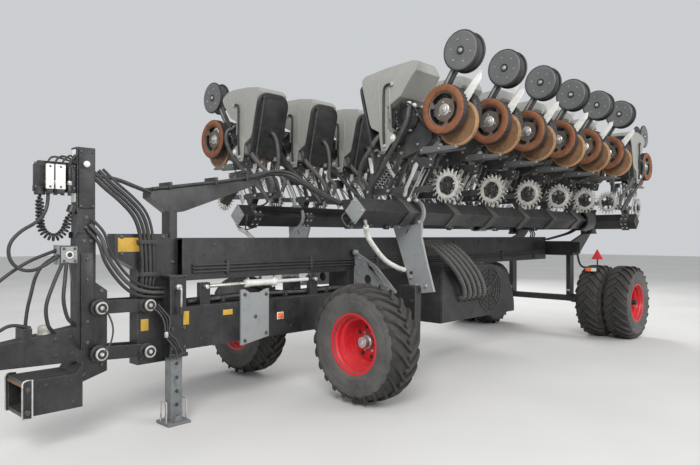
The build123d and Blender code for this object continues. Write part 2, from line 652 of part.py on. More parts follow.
with BuildPart() as lower_beam:
    tube(BEAM_FRONT_X, LOWER_HALF_W, LOWER_Z, LOWER_REAR_X - BEAM_FRONT_X, BEAM_WALL)
    side_slab(
        ((LOWER_REAR_X - SPACER_X, LOWER_Z[1]), (LOWER_REAR_X, LOWER_Z[1]),
         (LOWER_REAR_X, BEAM_Z[0]), (LOWER_REAR_X - SPACER_X, BEAM_Z[0])),
        -BEAM_HALF_W, BEAM_HALF_W,
    )
    for ram_x in RAM_EYE_X:
        side_slab(
            ((ram_x - RAM_LUG_HALF, LOWER_Z[1]), (ram_x + RAM_LUG_HALF, LOWER_Z[1]),
             (ram_x + RAM_LUG_HALF, RAM_Z + RAM_EYE_RADIUS), (ram_x - RAM_LUG_HALF, RAM_Z + RAM_EYE_RADIUS)),
            RAM_Y - RAM_LUG_HALF / 2, RAM_Y + RAM_LUG_HALF / 2,
        )
keep(lower_beam, "lower_beam")

with BuildPart() as lift_ram:
    for start_x, end_x, radius in RAM_STEPS:
        with BuildSketch(Plane(origin=(start_x, RAM_Y, RAM_Z), x_dir=(0, 1, 0), z_dir=(1, 0, 0))):
            Circle(radius)
        extrude(amount=end_x - start_x)
keep(lift_ram, "lift_ram")

with BuildPart() as side_plate:
    side_slab(SIDE_PLATE_OUTLINE, -LOWER_HALF_W, -LOWER_HALF_W - SIDE_PLATE_THICK)
    for side in (-1, 1):
        with BuildSketch(Plane(origin=(REST_X, 0, 0), x_dir=(0, 1, 0), z_dir=(1, 0, 0))):
            Polygon(*[(side * out, z) for out, z in REST_OUTLINE], align=None)
            with Locations((side * REST_HOLE[0], REST_HOLE[1])):
                Circle(REST_HOLE[2], mode=Mode.SUBTRACT)
        extrude(amount=REST_THICK)
keep(side_plate, "beam_side_plate")

with BuildPart() as rear_frame:
    cross = (
        (REAR_AXLE_X - CROSS_HALF_X, CROSS_Z[0]), (REAR_AXLE_X + CROSS_HALF_X, CROSS_Z[0]),
        (REAR_AXLE_X + CROSS_HALF_X, CROSS_Z[1]), (REAR_AXLE_X - CROSS_HALF_X, CROSS_Z[1]),
    )
    side_slab(cross, -POST_PLATE_Y[1], POST_PLATE_Y[1])
    plate_front = HINGE_X - KNUCKLE_RADIUS - EAR_MARGIN
    plate_outline = (
        cross[0], cross[1], (CENTRE_X + POST_REAR, TOOLBAR_Z - POST_REAR_DROP),
        (CENTRE_X, TOOLBAR_Z + COLLAR_RADIUS), (plate_front, TOOLBAR_Z + POST_HALF_H),
        (plate_front, TOOLBAR_Z - POST_HALF_H), cross[3],
    )
    for side in (-1, 1):
        side_slab(plate_outline, side * POST_PLATE_Y[0], side * POST_PLATE_Y[1])
        side_disc(CENTRE_X, TOOLBAR_Z, COLLAR_RADIUS, side * POST_PLATE_Y[0], side * POST_PLATE_Y[1])
        side_disc(
            CENTRE_X, TOOLBAR_Z, COLLAR_BORE, side * POST_PLATE_Y[0], side * POST_PLATE_Y[1], mode=Mode.SUBTRACT
        )
        ear_span = KNUCKLE_HALF_H + EAR_GAP
        for ear_z in (TOOLBAR_Z - ear_span - EAR_THICK, TOOLBAR_Z + ear_span):
            with BuildSketch(Plane.XY.offset(ear_z)):
                with Locations((HINGE_X, side * HINGE_Y)):
                    Circle(KNUCKLE_RADIUS + EAR_MARGIN)
                with Locations((HINGE_X, side * (POST_PLATE_Y[1] + HINGE_Y) / 2)):
                    Rectangle(2 * (KNUCKLE_RADIUS + EAR_MARGIN), HINGE_Y - POST_PLATE_Y[1])
            extrude(amount=EAR_THICK)
        with BuildSketch(Plane.XY.offset(TOOLBAR_Z - ear_span - EAR_THICK)):
            with Locations((HINGE_X, side * HINGE_Y)):
                Circle(PIN_RADIUS)
        extrude(amount=2 * (ear_span + EAR_THICK))
        side_slab(
            ((REAR_AXLE_X - HANGER_HALF_X, TYRE_RADIUS - AXLE_BEAM_HALF),
             (REAR_AXLE_X + HANGER_HALF_X, TYRE_RADIUS - AXLE_BEAM_HALF),
             (REAR_AXLE_X + HANGER_HALF_X, CROSS_Z[0]), (REAR_AXLE_X - HANGER_HALF_X, CROSS_Z[0])),
            side * AXLE_BEAM_Y, side * HANGER_OUT_Y,
        )
keep(rear_frame, "rear_frame")

with BuildPart() as rear_axle:
    side_slab(
        ((REAR_AXLE_X - AXLE_BEAM_HALF, TYRE_RADIUS - AXLE_BEAM_HALF),
         (REAR_AXLE_X + AXLE_BEAM_HALF, TYRE_RADIUS - AXLE_BEAM_HALF),
         (REAR_AXLE_X + AXLE_BEAM_HALF, TYRE_RADIUS + AXLE_BEAM_HALF),
         (REAR_AXLE_X - AXLE_BEAM_HALF, TYRE_RADIUS + AXLE_BEAM_HALF)),
        -AXLE_BEAM_Y, AXLE_BEAM_Y,
    )
    for side in (-1, 1):
        side_disc(REAR_AXLE_X, TYRE_RADIUS, AXLE_HUB_RADIUS, side * HANGER_OUT_Y, side * AXLE_HUB_Y)
        side_disc(REAR_AXLE_X, TYRE_RADIUS, AXLE_RADIUS, side * HANGER_OUT_Y, side * AXLE_TIP_Y)
keep(rear_axle, "rear_axle")

with BuildPart() as headstock:
    side_slab(HEADSTOCK_OUTLINE, -HEAD_HALF_W, HEAD_HALF_W)
keep(headstock, "headstock")

with BuildPart() as jack_housing:
    with BuildSketch(Plane.XY.offset(JACK_HOUSING_Z[0])):
        with Locations(JACK_AT):
            Rectangle(JACK_HOUSING_SIDE, JACK_HOUSING_SIDE)
            Rectangle(JACK_BORE, JACK_BORE, mode=Mode.SUBTRACT)
    extrude(amount=JACK_HOUSING_Z[1] - JACK_HOUSING_Z[0])
keep(jack_housing, "jack_housing")

with BuildPart() as jack_leg:
    with BuildSketch(Plane.XY.offset(JACK_FOOT_THICK)):
        with Locations(JACK_AT):
            Rectangle(JACK_BORE - 2 * JACK_GAP, JACK_BORE - 2 * JACK_GAP)
    extrude(amount=JACK_LEG_TOP - JACK_FOOT_THICK)
    with BuildSketch(Plane.XY):
        with Locations(JACK_AT):
            Rectangle(JACK_FOOT, JACK_FOOT)
    extrude(amount=JACK_FOOT_THICK)
keep(jack_leg, "jack_leg")

def ferrule(cord, end):
    """The collar that holds one end (0 or -1) of a hose, from its end face into the piece behind it."""
    diameter, route = CORDS[cord]
    tip = Vector(*route[end])
    into = tip - Vector(*route[1 if end == 0 else -2])
    with BuildSketch(Plane(origin=tip, z_dir=into)) as profile:
        Circle(diameter / 2 + FERRULE_WALL)
    extrude(profile.sketch, amount=FERRULE_LENGTH)


with BuildPart() as hitch_head:
    side_slab(HITCH_HEAD_OUTLINE, -HEAD_HALF_W, HEAD_HALF_W)
    ferrule("loop_hose", -1)
    ferrule("front_hose", 0)
    ferrule("neck_hose", 0)
keep(hitch_head, "hitch_head")

with BuildPart() as mast:
    side_slab(
        ((MAST_X[0], MAST_Z[0]), (MAST_X[1], MAST_Z[0]), (MAST_X[1], MAST_Z[1]), (MAST_X[0], MAST_Z[1])),
        -MAST_HALF_W, MAST_HALF_W,
    )
    ferrule("curly_cable", -1)
keep(mast, "hose_mast")

with BuildPart() as coupler_rack:
    side_slab(
        ((RACK_X[0], RACK_Z[0]), (MAST_X[0], RACK_Z[0]), (MAST_X[0], RACK_Z[1]), (RACK_X[0], RACK_Z[1])),
        RACK_Y[0], RACK_Y[1],
    )
    with BuildSketch(Plane.XY.offset(RACK_Z[0] - COUPLER_DROP)):
        for i in range(COUPLERS):
            with Locations((COUPLER_FIRST_X + i * COUPLER_SPACING, RACK_Y[0] - COUPLER_RADIUS + 1)):
                Circle(COUPLER_RADIUS)
    extrude(amount=COUPLER_LENGTH)
    with BuildSketch(Plane.XY.offset(RACK_Z[0] - COUPLER_DROP)):
        with Locations((SOCKET_X, SOCKET_Y)):
            Circle(SOCKET_RADIUS)
    extrude(amount=COUPLER_DROP)
keep(coupler_rack, "coupler_rack")

with BuildPart() as links:
    for front_z, rear_z in LINK_Z:
        for side in (-1, 1):
            link = bar(LINK_X[0] - LINK_END, front_z, LINK_X[1] + LINK_END, rear_z, LINK_DEPTH)
            side_slab(link, side * LINK_Y[0], side * LINK_Y[1])
            for x, z in ((LINK_X[0], front_z), (LINK_X[1], rear_z)):
                side_disc(x, z, LINK_PIN_RADIUS, side * LINK_Y[1], side * (LINK_Y[1] + LINK_PIN_HEAD))
keep(links, "link_bars")

with BuildPart() as neck:
    side_slab(NECK_OUTLINE, -HEAD_HALF_W, HEAD_HALF_W)
    with BuildSketch(Plane.XY.offset(EYE_Z)):
        with Locations((FRONT_X + EYE_RADIUS, 0)):
            Circle(EYE_RADIUS)
        Polygon(
            (FRONT_X + EYE_RADIUS, -EYE_SHANK), (NECK_OUTLINE[0][0] + 10, -HEAD_HALF_W),
            (NECK_OUTLINE[0][0] + 10, HEAD_HALF_W), (FRONT_X + EYE_RADIUS, EYE_SHANK), align=None,
        )
        with Locations((FRONT_X + EYE_RADIUS, 0)):
            Circle(EYE_BORE, mode=Mode.SUBTRACT)
    extrude(amount=EYE_THICK)
    ferrule("front_hose", -1)
    ferrule("neck_hose", -1)
keep(neck, "drawbar_neck")

with BuildPart() as hitch_box:
    side_slab(HITCH_BOX_OUTLINE, -HITCH_BOX_HALF_W, HITCH_BOX_HALF_W)
    side_slab(
        ((HITCH_BOX_OUTLINE[0][0], HITCH_BOX_OUTLINE[0][1] + BOX_WALL),
         (HITCH_BOX_OUTLINE[0][0] + BOX_DEPTH, HITCH_BOX_OUTLINE[0][1] + BOX_WALL),
         (HITCH_BOX_OUTLINE[0][0] + BOX_DEPTH, HITCH_BOX_TOP - BOX_WALL),
         (HITCH_BOX_OUTLINE[0][0], HITCH_BOX_TOP - BOX_WALL)),
        BOX_WALL - HITCH_BOX_HALF_W, HITCH_BOX_HALF_W - BOX_WALL, mode=Mode.SUBTRACT,
    )
keep(hitch_box, "hitch_box")

with BuildPart() as fan:
    with BuildSketch(Plane.XZ.offset(-FAN_HALF_W)):
        with BuildLine():
            Polyline(
                (FAN_X[1], FAN_Z[0]), (FAN_X[0], FAN_Z[0]), (FAN_X[0], FAN_Z[1]), (FAN_SHOULDER[0], FAN_Z[1])
            )
            ThreePointArc((FAN_SHOULDER[0], FAN_Z[1]), FAN_SHOULDER[1:], (FAN_X[1], FAN_Z[0]))
        make_face()
    extrude(amount=2 * FAN_HALF_W)
keep(fan, "fan_housing")

with BuildPart() as air_ducts:
    for side in (-1, 1):
        for i in range(DUCTS):
            with BuildLine() as run:
                FilletPolyline(
                    *[(x + i * DUCT_SPACING, side * out, z) for x, out, z in DUCT_ROUTE], radius=list(DUCT_BENDS)
                )
            with BuildSketch(Plane(origin=run.line @ 0, z_dir=run.line % 0)) as section:
                Circle(DUCT_RADIUS)
            sweep(section.sketch, path=run.line)
keep(air_ducts, "air_ducts")

with BuildPart() as tray:
    side_slab(TRAY_OUTLINE, -TRAY_HALF_W, TRAY_HALF_W)
    side_slab(
        ((TRAY_POST_X[0], BEAM_Z[1]), (TRAY_POST_X[1], BEAM_Z[1]),
         (TRAY_POST_X[1], TRAY_POST_TOP), (TRAY_POST_X[0], TRAY_POST_TOP)),
        -TRAY_HALF_W, TRAY_HALF_W,
    )
keep(tray, "hose_tray")


def cord_tube(route, diameter, label):
    """A hose whose straight runs are joined by arcs as large as the runs allow."""
    radii = []
    for before, corner, after in zip(route, route[1:], route[2:]):
        run_in, run_out = Vector(*corner) - Vector(*before), Vector(*after) - Vector(*corner)
        half_turn = run_in.get_angle(run_out) / 2 * pi / 180
        radii.append(0.45 * min(run_in.length, run_out.length) / tan(half_turn))
    with BuildPart() as hose:
        with BuildLine() as run:
            FilletPolyline(*route, radius=radii)
        with BuildSketch(Plane(origin=run.line @ 0, z_dir=run.line % 0)) as section:
            Circle(diameter / 2)
        sweep(section.sketch, path=run.line)
    length = run.wires()[0].length
    share = hose.part.volume / (section.sketch.area * length)
    print(label, "length", round(length), "radii", [round(r) for r in radii], "volume share", round(share, 4))
    keep(hose, label)


for cord_name, (cord_diameter, cord_route) in CORDS.items():
    cord_tube(cord_route, cord_diameter, cord_name)
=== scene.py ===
"""Looks of the trailed precision planter: camera, light, materials and detail the solids leave out."""
import json
import math

import bmesh
import bpy
from mathutils import Matrix, Vector


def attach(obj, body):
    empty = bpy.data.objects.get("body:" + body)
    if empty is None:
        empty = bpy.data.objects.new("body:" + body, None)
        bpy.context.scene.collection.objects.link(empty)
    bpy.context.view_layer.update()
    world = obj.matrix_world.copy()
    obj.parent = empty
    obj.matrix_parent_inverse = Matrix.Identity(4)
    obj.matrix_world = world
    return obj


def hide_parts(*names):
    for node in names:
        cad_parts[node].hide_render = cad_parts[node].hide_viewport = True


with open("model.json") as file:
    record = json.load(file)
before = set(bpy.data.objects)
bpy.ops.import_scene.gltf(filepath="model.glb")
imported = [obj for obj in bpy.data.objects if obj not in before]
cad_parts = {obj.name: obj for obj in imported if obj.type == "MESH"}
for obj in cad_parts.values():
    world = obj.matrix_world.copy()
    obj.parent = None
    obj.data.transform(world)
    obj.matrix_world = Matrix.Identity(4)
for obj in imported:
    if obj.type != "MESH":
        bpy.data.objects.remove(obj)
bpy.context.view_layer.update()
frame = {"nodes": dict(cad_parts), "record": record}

# Camera, from the photograph's perspective
IMAGE_WIDTH = 700
FOCAL_PX = 600.0
SENSOR_MM = 36.0
CAMERA_AT = (-5.36, -4.12, 1.374)
VIEW_AZIMUTH = math.radians(43.6)      # from +X towards +Y
VIEW_PITCH = math.radians(0.334)


def make_camera():
    data = bpy.data.cameras.new("camera")
    data.sensor_width = SENSOR_MM
    data.lens = FOCAL_PX / IMAGE_WIDTH * SENSOR_MM
    data.clip_end = 100.0
    camera = bpy.data.objects.new("camera", data)
    camera.location = CAMERA_AT
    camera.rotation_euler = (math.pi / 2 + VIEW_PITCH, 0.0, VIEW_AZIMUTH - math.pi / 2)
    bpy.context.scene.collection.objects.link(camera)
    bpy.context.scene.camera = camera


make_camera()


# Materials

def new_material(name):
    material = bpy.data.materials.new(name)
    material.use_nodes = True
    nodes = material.node_tree.nodes
    return material, nodes, material.node_tree.links, nodes["Principled BSDF"]


def noise(nodes, links, scale, detail=6.0, roughness=0.6, vector=None):
    node = nodes.new("ShaderNodeTexNoise")
    node.inputs["Scale"].default_value = scale
    node.inputs["Detail"].default_value = detail
    node.inputs["Roughness"].default_value = roughness
    if vector is not None:
        links.new(vector, node.inputs["Vector"])
    return node.outputs["Fac"]


def ramp(nodes, links, value, low, high, low_color=(0, 0, 0, 1), high_color=(1, 1, 1, 1)):
    node = nodes.new("ShaderNodeValToRGB")
    node.color_ramp.elements[0].position = low
    node.color_ramp.elements[1].position = high
    node.color_ramp.elements[0].color = low_color
    node.color_ramp.elements[1].color = high_color
    links.new(value, node.inputs["Fac"])
    return node.outputs["Color"]


def mix(nodes, links, factor, a, b, mode="MIX"):
    node = nodes.new("ShaderNodeMix")
    node.data_type = "RGBA"
    node.blend_type = mode
    for socket, value in ((node.inputs[0], factor), (node.inputs[6], a), (node.inputs[7], b)):
        if isinstance(value, bpy.types.NodeSocket):
            links.new(value, socket)
        else:
            socket.default_value = value
    return node.outputs[2]


def edge_wear(nodes, links, radius):
    """How near a convex or concave edge a point lies, and a normal with the edges rounded."""
    bevel = nodes.new("ShaderNodeBevel")
    bevel.samples = 4
    bevel.inputs["Radius"].default_value = radius
    geometry = nodes.new("ShaderNodeNewGeometry")
    dot = nodes.new("ShaderNodeVectorMath")
    dot.operation = "DOT_PRODUCT"
    links.new(bevel.outputs["Normal"], dot.inputs[0])
    links.new(geometry.outputs["Normal"], dot.inputs[1])
    return ramp(nodes, links, dot.outputs["Value"], 0.8, 0.985, (1, 1, 1, 1),
        (0, 0, 0, 1)), bevel.outputs["Normal"]


def upward(nodes, links):
    """How far a surface faces up, from 0 to 1."""
    geometry = nodes.new("ShaderNodeNewGeometry")
    split = nodes.new("ShaderNodeSeparateXYZ")
    links.new(geometry.outputs["Normal"], split.inputs[0])
    return split.outputs["Z"]


def grey(value):
    return value, value, value, 1


def soiled(name, base, dust, dusty=0.5, roughness=0.45, metallic=0.0, bump=0.15, grain=180.0, wear=None,
        edge=0.004, streaks=0.0, blotch=1.0):
    """Paint, plastic, rubber or metal: blotches, settled dust on upper faces, grime and worn edges."""
    material, nodes, links, shader = new_material(name)
    at = nodes.new("ShaderNodeTexCoord").outputs["Object"]

    def spots(scale, detail, rough, low, high, high_color=grey(1), vector=at):
        """Noise turned into patches between two thresholds."""
        return ramp(nodes, links, noise(nodes, links, scale, detail, rough, vector), low, high, grey(0),
            high_color)

    patches = spots(2.7, 8.0, 0.65, 0.4, 0.72)
    grit = spots(52.0, 6.0, 0.7, 0.36, 0.7)
    top = ramp(nodes, links, upward(nodes, links), 0.2, 0.95)
    cover = mix(nodes, links, 0.55, patches, grit, "MULTIPLY")
    cover = mix(nodes, links, 0.75, cover, top, "SCREEN")
    amount = mix(nodes, links, 1.0, cover, grey(dusty), "MULTIPLY")
    light = tuple(min(1.0, c * (1.0 + LIGHTER * blotch) + LIFT * blotch) for c in base) + (1,)
    dark = tuple(c * (1.0 - DARKER * blotch) for c in base) + (1,)
    tint = mix(nodes, links, spots(9.0, 5.0, 0.6, 0.3, 0.7), (*base, 1), light)
    tint = mix(nodes, links, spots(24.0, 3.0, 0.5, 0.52, 0.75), tint, dark)
    color = mix(nodes, links, amount, tint, (*dust, 1))
    if streaks:
        stretch = nodes.new("ShaderNodeMapping")
        stretch.inputs["Scale"].default_value = STREAK_STRETCH
        links.new(at, stretch.inputs["Vector"])
        lines = spots(1.0, 3.0, 0.5, 0.55, 0.78, grey(streaks), stretch.outputs["Vector"])
        color = mix(nodes, links, lines, color, (*dust, 1))
    edges, rounded = edge_wear(nodes, links, edge)
    if wear is not None:
        chips = mix(nodes, links, 1.0, edges, spots(75.0, 4.0, 0.7, 0.4, 0.6), "MULTIPLY")
        color = mix(nodes, links, chips, color, (*wear, 1))
    links.new(color, shader.inputs["Base Color"])
    shader.inputs["Metallic"].default_value = metallic
    links.new(ramp(nodes, links, cover, 0.0, 1.0, grey(roughness), grey(DUSTY_ROUGHNESS)),
        shader.inputs["Roughness"])
    bump_node = nodes.new("ShaderNodeBump")
    bump_node.inputs["Strength"].default_value = bump
    bump_node.inputs["Distance"].default_value = BUMP_DEPTH
    links.new(noise(nodes, links, grain, 4.0, 0.6, at), bump_node.inputs["Height"])
    links.new(rounded, bump_node.inputs["Normal"])
    links.new(bump_node.outputs["Normal"], shader.inputs["Normal"])
    MATERIALS[name] = material


MATERIALS = {}
LIGHTER, DARKER, LIFT = 0.4, 0.38, 0.012       # how far blotches leave the base colour
DUSTY_ROUGHNESS = 0.88
BUMP_DEPTH = 0.002
STREAK_STRETCH = (26.0, 26.0, 1.6)             # noise drawn out down the object's sides
DUST = (0.27, 0.245, 0.21)
BARE = (0.4, 0.39, 0.37)
soiled("black_frame", (0.008, 0.0085, 0.0095), DUST, 0.06, 0.3, wear=(0.3, 0.27, 0.24), streaks=0.05)
soiled("grey_frame", (0.235, 0.25, 0.255), DUST, 0.2, 0.4, wear=BARE, streaks=0.1, blotch=0.22)
soiled("row_frame", (0.026, 0.027, 0.028), DUST, 0.24, 0.36, wear=(0.38, 0.37, 0.35))
soiled("grey_hopper", (0.285, 0.285, 0.262), DUST, 0.16, 0.42, bump=0.2, edge=0.008, streaks=0.06,
    blotch=0.15)
soiled("black_plastic", (0.011, 0.011, 0.012), DUST, 0.14, 0.4, wear=(0.05, 0.05, 0.048))
soiled("worn_steel", (0.16, 0.085, 0.045), (0.4, 0.22, 0.1), 0.75, 0.5, 0.3)
# disc_edge: the lighter band round the opener discs' edge, with its cream dust colour, is partly real wear of
# the edge and partly painted highlight
soiled("disc_edge", (0.3, 0.17, 0.075), (0.5, 0.36, 0.21), 0.7, 0.5, 0.2)
soiled("bright_steel", (0.5, 0.49, 0.47), (0.28, 0.24, 0.2), 0.3, 0.28, 0.8)
soiled("dark_steel", (0.07, 0.07, 0.07), DUST, 0.3, 0.32, 0.6, wear=(0.32, 0.31, 0.29))
soiled("cleaner", (0.42, 0.41, 0.38), (0.3, 0.26, 0.21), 0.45, 0.45, 0.3, wear=(0.6, 0.59, 0.56))
soiled("gauge_tyre", (0.155, 0.05, 0.017), (0.28, 0.125, 0.055), 0.6, 0.75, bump=0.6, grain=90.0)
soiled("gauge_disc", (0.085, 0.075, 0.068), (0.24, 0.15, 0.095), 0.7, 0.45, 0.3, bump=0.4)
soiled("closing_wheel", (0.105, 0.109, 0.109), DUST, 0.18, 0.34, bump=0.06, blotch=0.25)
soiled("white_plastic", (0.66, 0.655, 0.62), DUST, 0.22, 0.38, wear=(0.35, 0.32, 0.28), blotch=0.4)
soiled("tyre", (0.016, 0.0155, 0.015), (0.1, 0.09, 0.078), 0.6, 0.72, bump=0.5, grain=120.0)
soiled("tyre_side", (0.06, 0.058, 0.055), (0.19, 0.18, 0.165), 0.75, 0.85, bump=0.5, grain=120.0, blotch=0.5)
soiled("jack", (0.105, 0.115, 0.12), DUST, 0.3, 0.4, wear=BARE, streaks=0.15)
soiled("rubber", (0.011, 0.011, 0.011), (0.12, 0.11, 0.095), 0.22, 0.45, bump=0.3)
soiled("hose", (0.012, 0.012, 0.013), (0.14, 0.13, 0.115), 0.25, 0.34, bump=0.3, grain=420.0)
soiled("hose_grey", (0.032, 0.033, 0.034), DUST, 0.22, 0.42, bump=0.3, grain=420.0)
soiled("duct", (0.06, 0.06, 0.057), DUST, 0.35, 0.4, bump=0.2, blotch=0.4)
soiled("red_rim", (0.54, 0.011, 0.02), (0.42, 0.15, 0.13), 0.14, 0.3, wear=(0.25, 0.07, 0.06), blotch=0.3)
soiled("yellow_plate", (0.46, 0.27, 0.02), DUST, 0.3, 0.5, blotch=0.4)
soiled("reflector", (0.85, 0.13, 0.02), DUST, 0.1, 0.2, grain=900.0)
soiled("red_reflector", (0.55, 0.02, 0.02), DUST, 0.15, 0.2, grain=900.0)
SLOT_OF = {entry["node"]: entry["material_slot"] for entry in frame["record"]["subparts"]}
NODE_MATERIAL = dict.fromkeys(("near_row_frames", "far_row_frames", "centre_row_frames"), "row_frame")
NODE_MATERIAL["jack_leg"] = "jack"
for node_name, node_object in frame["nodes"].items():
    node_object.data.materials.clear()
    node_object.data.materials.append(MATERIALS[NODE_MATERIAL.get(node_name, SLOT_OF[node_name])])


# Mesh tools: a Form gathers faces in local axes, and make_piece turns it into one object

CLOSED_END = 0.0005            # smallest radius of a turned shape, in place of a point
SPRING_STEPS = 9               # points in one turn of a spring
# Outlines in (x, z), depths in -y
SIDE = Matrix(((1, 0, 0, 0), (0, 0, -1, 0), (0, 1, 0, 0), (0, 0, 0, 1)))


def mm(value):
    """Millimetres, in nested tables too, to metres."""
    return value / 1000 if isinstance(value, (int, float)) else [mm(v) for v in value]


def around(count, radius, height=0.0, start=0.0):
    """Points evenly spaced on a circle about the local Z axis."""
    turns = [start + 2 * math.pi * i / count for i in range(count)]
    return [(radius * math.cos(a), radius * math.sin(a), height) for a in turns]


def turned(count):
    """Rotations about the local Z axis in even steps."""
    return [Matrix.Rotation(2 * math.pi * i / count, 4, "Z") for i in range(count)]


def mirrored(side, axis):
    return Matrix.Scale(side, 4, axis)


def front_at(x):
    """Outlines in (y, z), depths towards the front from x."""
    return Matrix(((0, 0, -1, x), (1, 0, 0, 0), (0, 1, 0, 0), (0, 0, 0, 1)))


def rect(x0, z0, x1, z1):
    return [(x0, z0), (x1, z0), (x1, z1), (x0, z1)]


def shifted(points, shift):
    return [Vector(p) + Vector(shift) for p in points]


class Form:
    def __init__(self):
        self.verts, self.faces, self.materials = [], [], []

    def add(self, verts, faces, material, matrix=None):
        start = len(self.verts)
        flip = matrix is not None and matrix.determinant() < 0
        self.verts += [matrix @ Vector(v) if matrix is not None else Vector(v) for v in verts]
        for face in faces:
            face = [start + i for i in face]
            self.faces.append(face[::-1] if flip else face)
        self.materials += [material] * len(faces)

    def merge(self, other, matrix):
        start = len(self.verts)
        flip = matrix.determinant() < 0
        self.verts += [matrix @ v for v in other.verts]
        for face in other.faces:
            face = [start + i for i in face]
            self.faces.append(face[::-1] if flip else face)
        self.materials += other.materials

    def solid(self, mesh, material, matrix=None, bevel=0.0, segments=2, limit=0.6):
        """Round a bmesh's sharp edges and take it in."""
        bmesh.ops.recalc_face_normals(mesh, faces=mesh.faces)
        if bevel:
            sharp = [e for e in mesh.edges if len(e.link_faces) == 2 and e.calc_face_angle(0) > limit]
            bmesh.ops.bevel(mesh, geom=sharp, offset=bevel, segments=segments, profile=0.6, affect="EDGES",
                clamp_overlap=True)
        mesh.verts.index_update()
        self.add([v.co.copy() for v in mesh.verts], [[v.index for v in f.verts] for f in mesh.faces],
            material, matrix)
        mesh.free()

    def prism(self, outline, low, high, material, matrix=None, bevel=0.003, segments=2):
        """An outline in the local XY plane between two heights."""
        mesh = bmesh.new()
        base = mesh.faces.new([mesh.verts.new((x, y, low)) for x, y in outline])
        top = bmesh.ops.extrude_face_region(mesh, geom=[base])
        moved = [v for v in top["geom"] if isinstance(v, bmesh.types.BMVert)]
        bmesh.ops.translate(mesh, verts=moved, vec=(0, 0, high - low))
        self.solid(mesh, material, matrix, bevel, segments)

    def block(self, low, high, material, matrix=None, bevel=0.003):
        self.prism(rect(*low[:2], *high[:2]), low[2], high[2], material, matrix, bevel)

    def lathe(self, profile, material, matrix=None, segments=32, closed=False):
        """Points (radius, height) turned about the local Z axis; radius 0 closes an end."""
        verts, faces = [], []
        count = len(profile)
        for radius, height in profile:
            verts += around(segments, max(radius, CLOSED_END), height)
        for j in range(count if closed else count - 1):
            k = (j + 1) % count
            for i in range(segments):
                n = (i + 1) % segments
                faces.append((j * segments + i, j * segments + n, k * segments + n, k * segments + i))
        self.add(verts, faces, material, matrix)

    def perforated(self, radii, segments, is_hole, height, thick, material, matrix=None):
        """A round sheet with openings; height(r) gives its upper face."""
        cells = dict.fromkeys((j, i) for j in range(len(radii) - 1) for i in range(segments)
            if not is_hole((radii[j] + radii[j + 1]) / 2, 360.0 * (i + 0.5) / segments))
        verts, index, faces = [], {}, []

        def corner(j, i, low):
            key = (j, i % segments, low)
            if key not in index:
                a = 2 * math.pi * (i % segments) / segments
                index[key] = len(verts)
                verts.append((radii[j] * math.cos(a), radii[j] * math.sin(a),
                    height(radii[j]) - (thick if low else 0)))
            return index[key]

        for j, i in cells:
            faces.append([corner(j, i, 0), corner(j + 1, i, 0), corner(j + 1, i + 1, 0), corner(j, i + 1, 0)])
            faces.append([corner(j, i + 1, 1), corner(j + 1, i + 1, 1), corner(j + 1, i, 1), corner(j, i, 1)])
            walls = (((j - 1, i), (j, i), (j, i + 1)), ((j + 1, i), (j + 1, i + 1), (j + 1, i)),
                ((j, (i - 1) % segments), (j + 1, i), (j, i)), ((j, (i + 1) % segments), (j, i + 1),
                (j + 1, i + 1)))
            for beside, start, end in walls:
                if beside not in cells:
                    faces.append([corner(*start, 0), corner(*end, 0), corner(*end, 1), corner(*start, 1)])
        self.add(verts, faces, material, matrix)

    def tube(self, points, radius, material, sides=8, matrix=None, closed=False, ribs=None):
        """A round tube along points; ribs is (pitch, depth) for a ribbed hose."""
        points = [Vector(p) for p in points]
        if ribs:
            points = resample(points, ribs[0] / 4)
        count = len(points)
        verts, faces = [], []
        normal = None
        for i, point in enumerate(points):
            before = points[i - 1] if i or closed else point
            after = points[(i + 1) % count] if i < count - 1 or closed else point
            along = (after - before).normalized()
            if normal is None:
                normal = along.orthogonal().normalized()
            normal = (normal - along * normal.dot(along)).normalized()
            across = along.cross(normal)
            reach = radius - (ribs[1] * (0.5 - 0.5 * math.cos(math.pi * i / 2)) if ribs else 0.0)
            for s in range(sides):
                a = 2 * math.pi * s / sides
                verts.append(point + (normal * math.cos(a) + across * math.sin(a)) * reach)
        for i in range(count if closed else count - 1):
            k = (i + 1) % count
            for s in range(sides):
                n = (s + 1) % sides
                faces.append((i * sides + s, i * sides + n, k * sides + n, k * sides + s))
        if not closed:
            faces.append(tuple(range(sides))[::-1])
            faces.append(tuple(range((count - 1) * sides, count * sides)))
        self.add(verts, faces, material, matrix)

    def hose(self, points, radius, material, sides=8, matrix=None, steps=8, ribs=None):
        """A tube along a smooth curve through the points."""
        self.tube(smooth_path(points, steps), radius, material, sides, matrix, ribs=ribs)

    def spring(self, start, end, radius, wire, turns, material, matrix=None):
        start, end = Vector(start), Vector(end)
        along = end - start
        x_dir = along.orthogonal().normalized()
        y_dir = along.normalized().cross(x_dir)
        steps = turns * SPRING_STEPS
        points = []
        for i in range(steps + 1):
            a = 2 * math.pi * i / SPRING_STEPS
            points.append(start + along * (i / steps) + (x_dir * math.cos(a) + y_dir * math.sin(a)) * radius)
        self.tube(points, wire, material, 5, matrix)

    def bolt(self, at, direction, size, material, matrix=None, washer=True):
        """A hexagon head, its washer and the chamfer on its corners."""
        place = facing(at, direction)
        if matrix is not None:
            place = matrix @ place
        if washer:
            self.lathe([(0, size * 0.22), (size * 1.15, size * 0.22), (size * 1.2, 0.0)], material, place, 12)
        head = [(size * math.cos(math.pi * i / 3), size * math.sin(math.pi * i / 3)) for i in range(6)]
        self.prism(head, 0.0, size * 0.85, material, place, size * 0.12, 1)

    def bolts(self, places, direction, size, material="dark_steel", washer=True):
        for place in places:
            self.bolt(place, direction, size, material, None, washer)

    def plate(self, outline, y0, y1, material, bevel=0.003):
        """A plate between two y values from an outline in (x, z)."""
        self.prism(outline, -max(y0, y1), -min(y0, y1), material, SIDE, bevel)


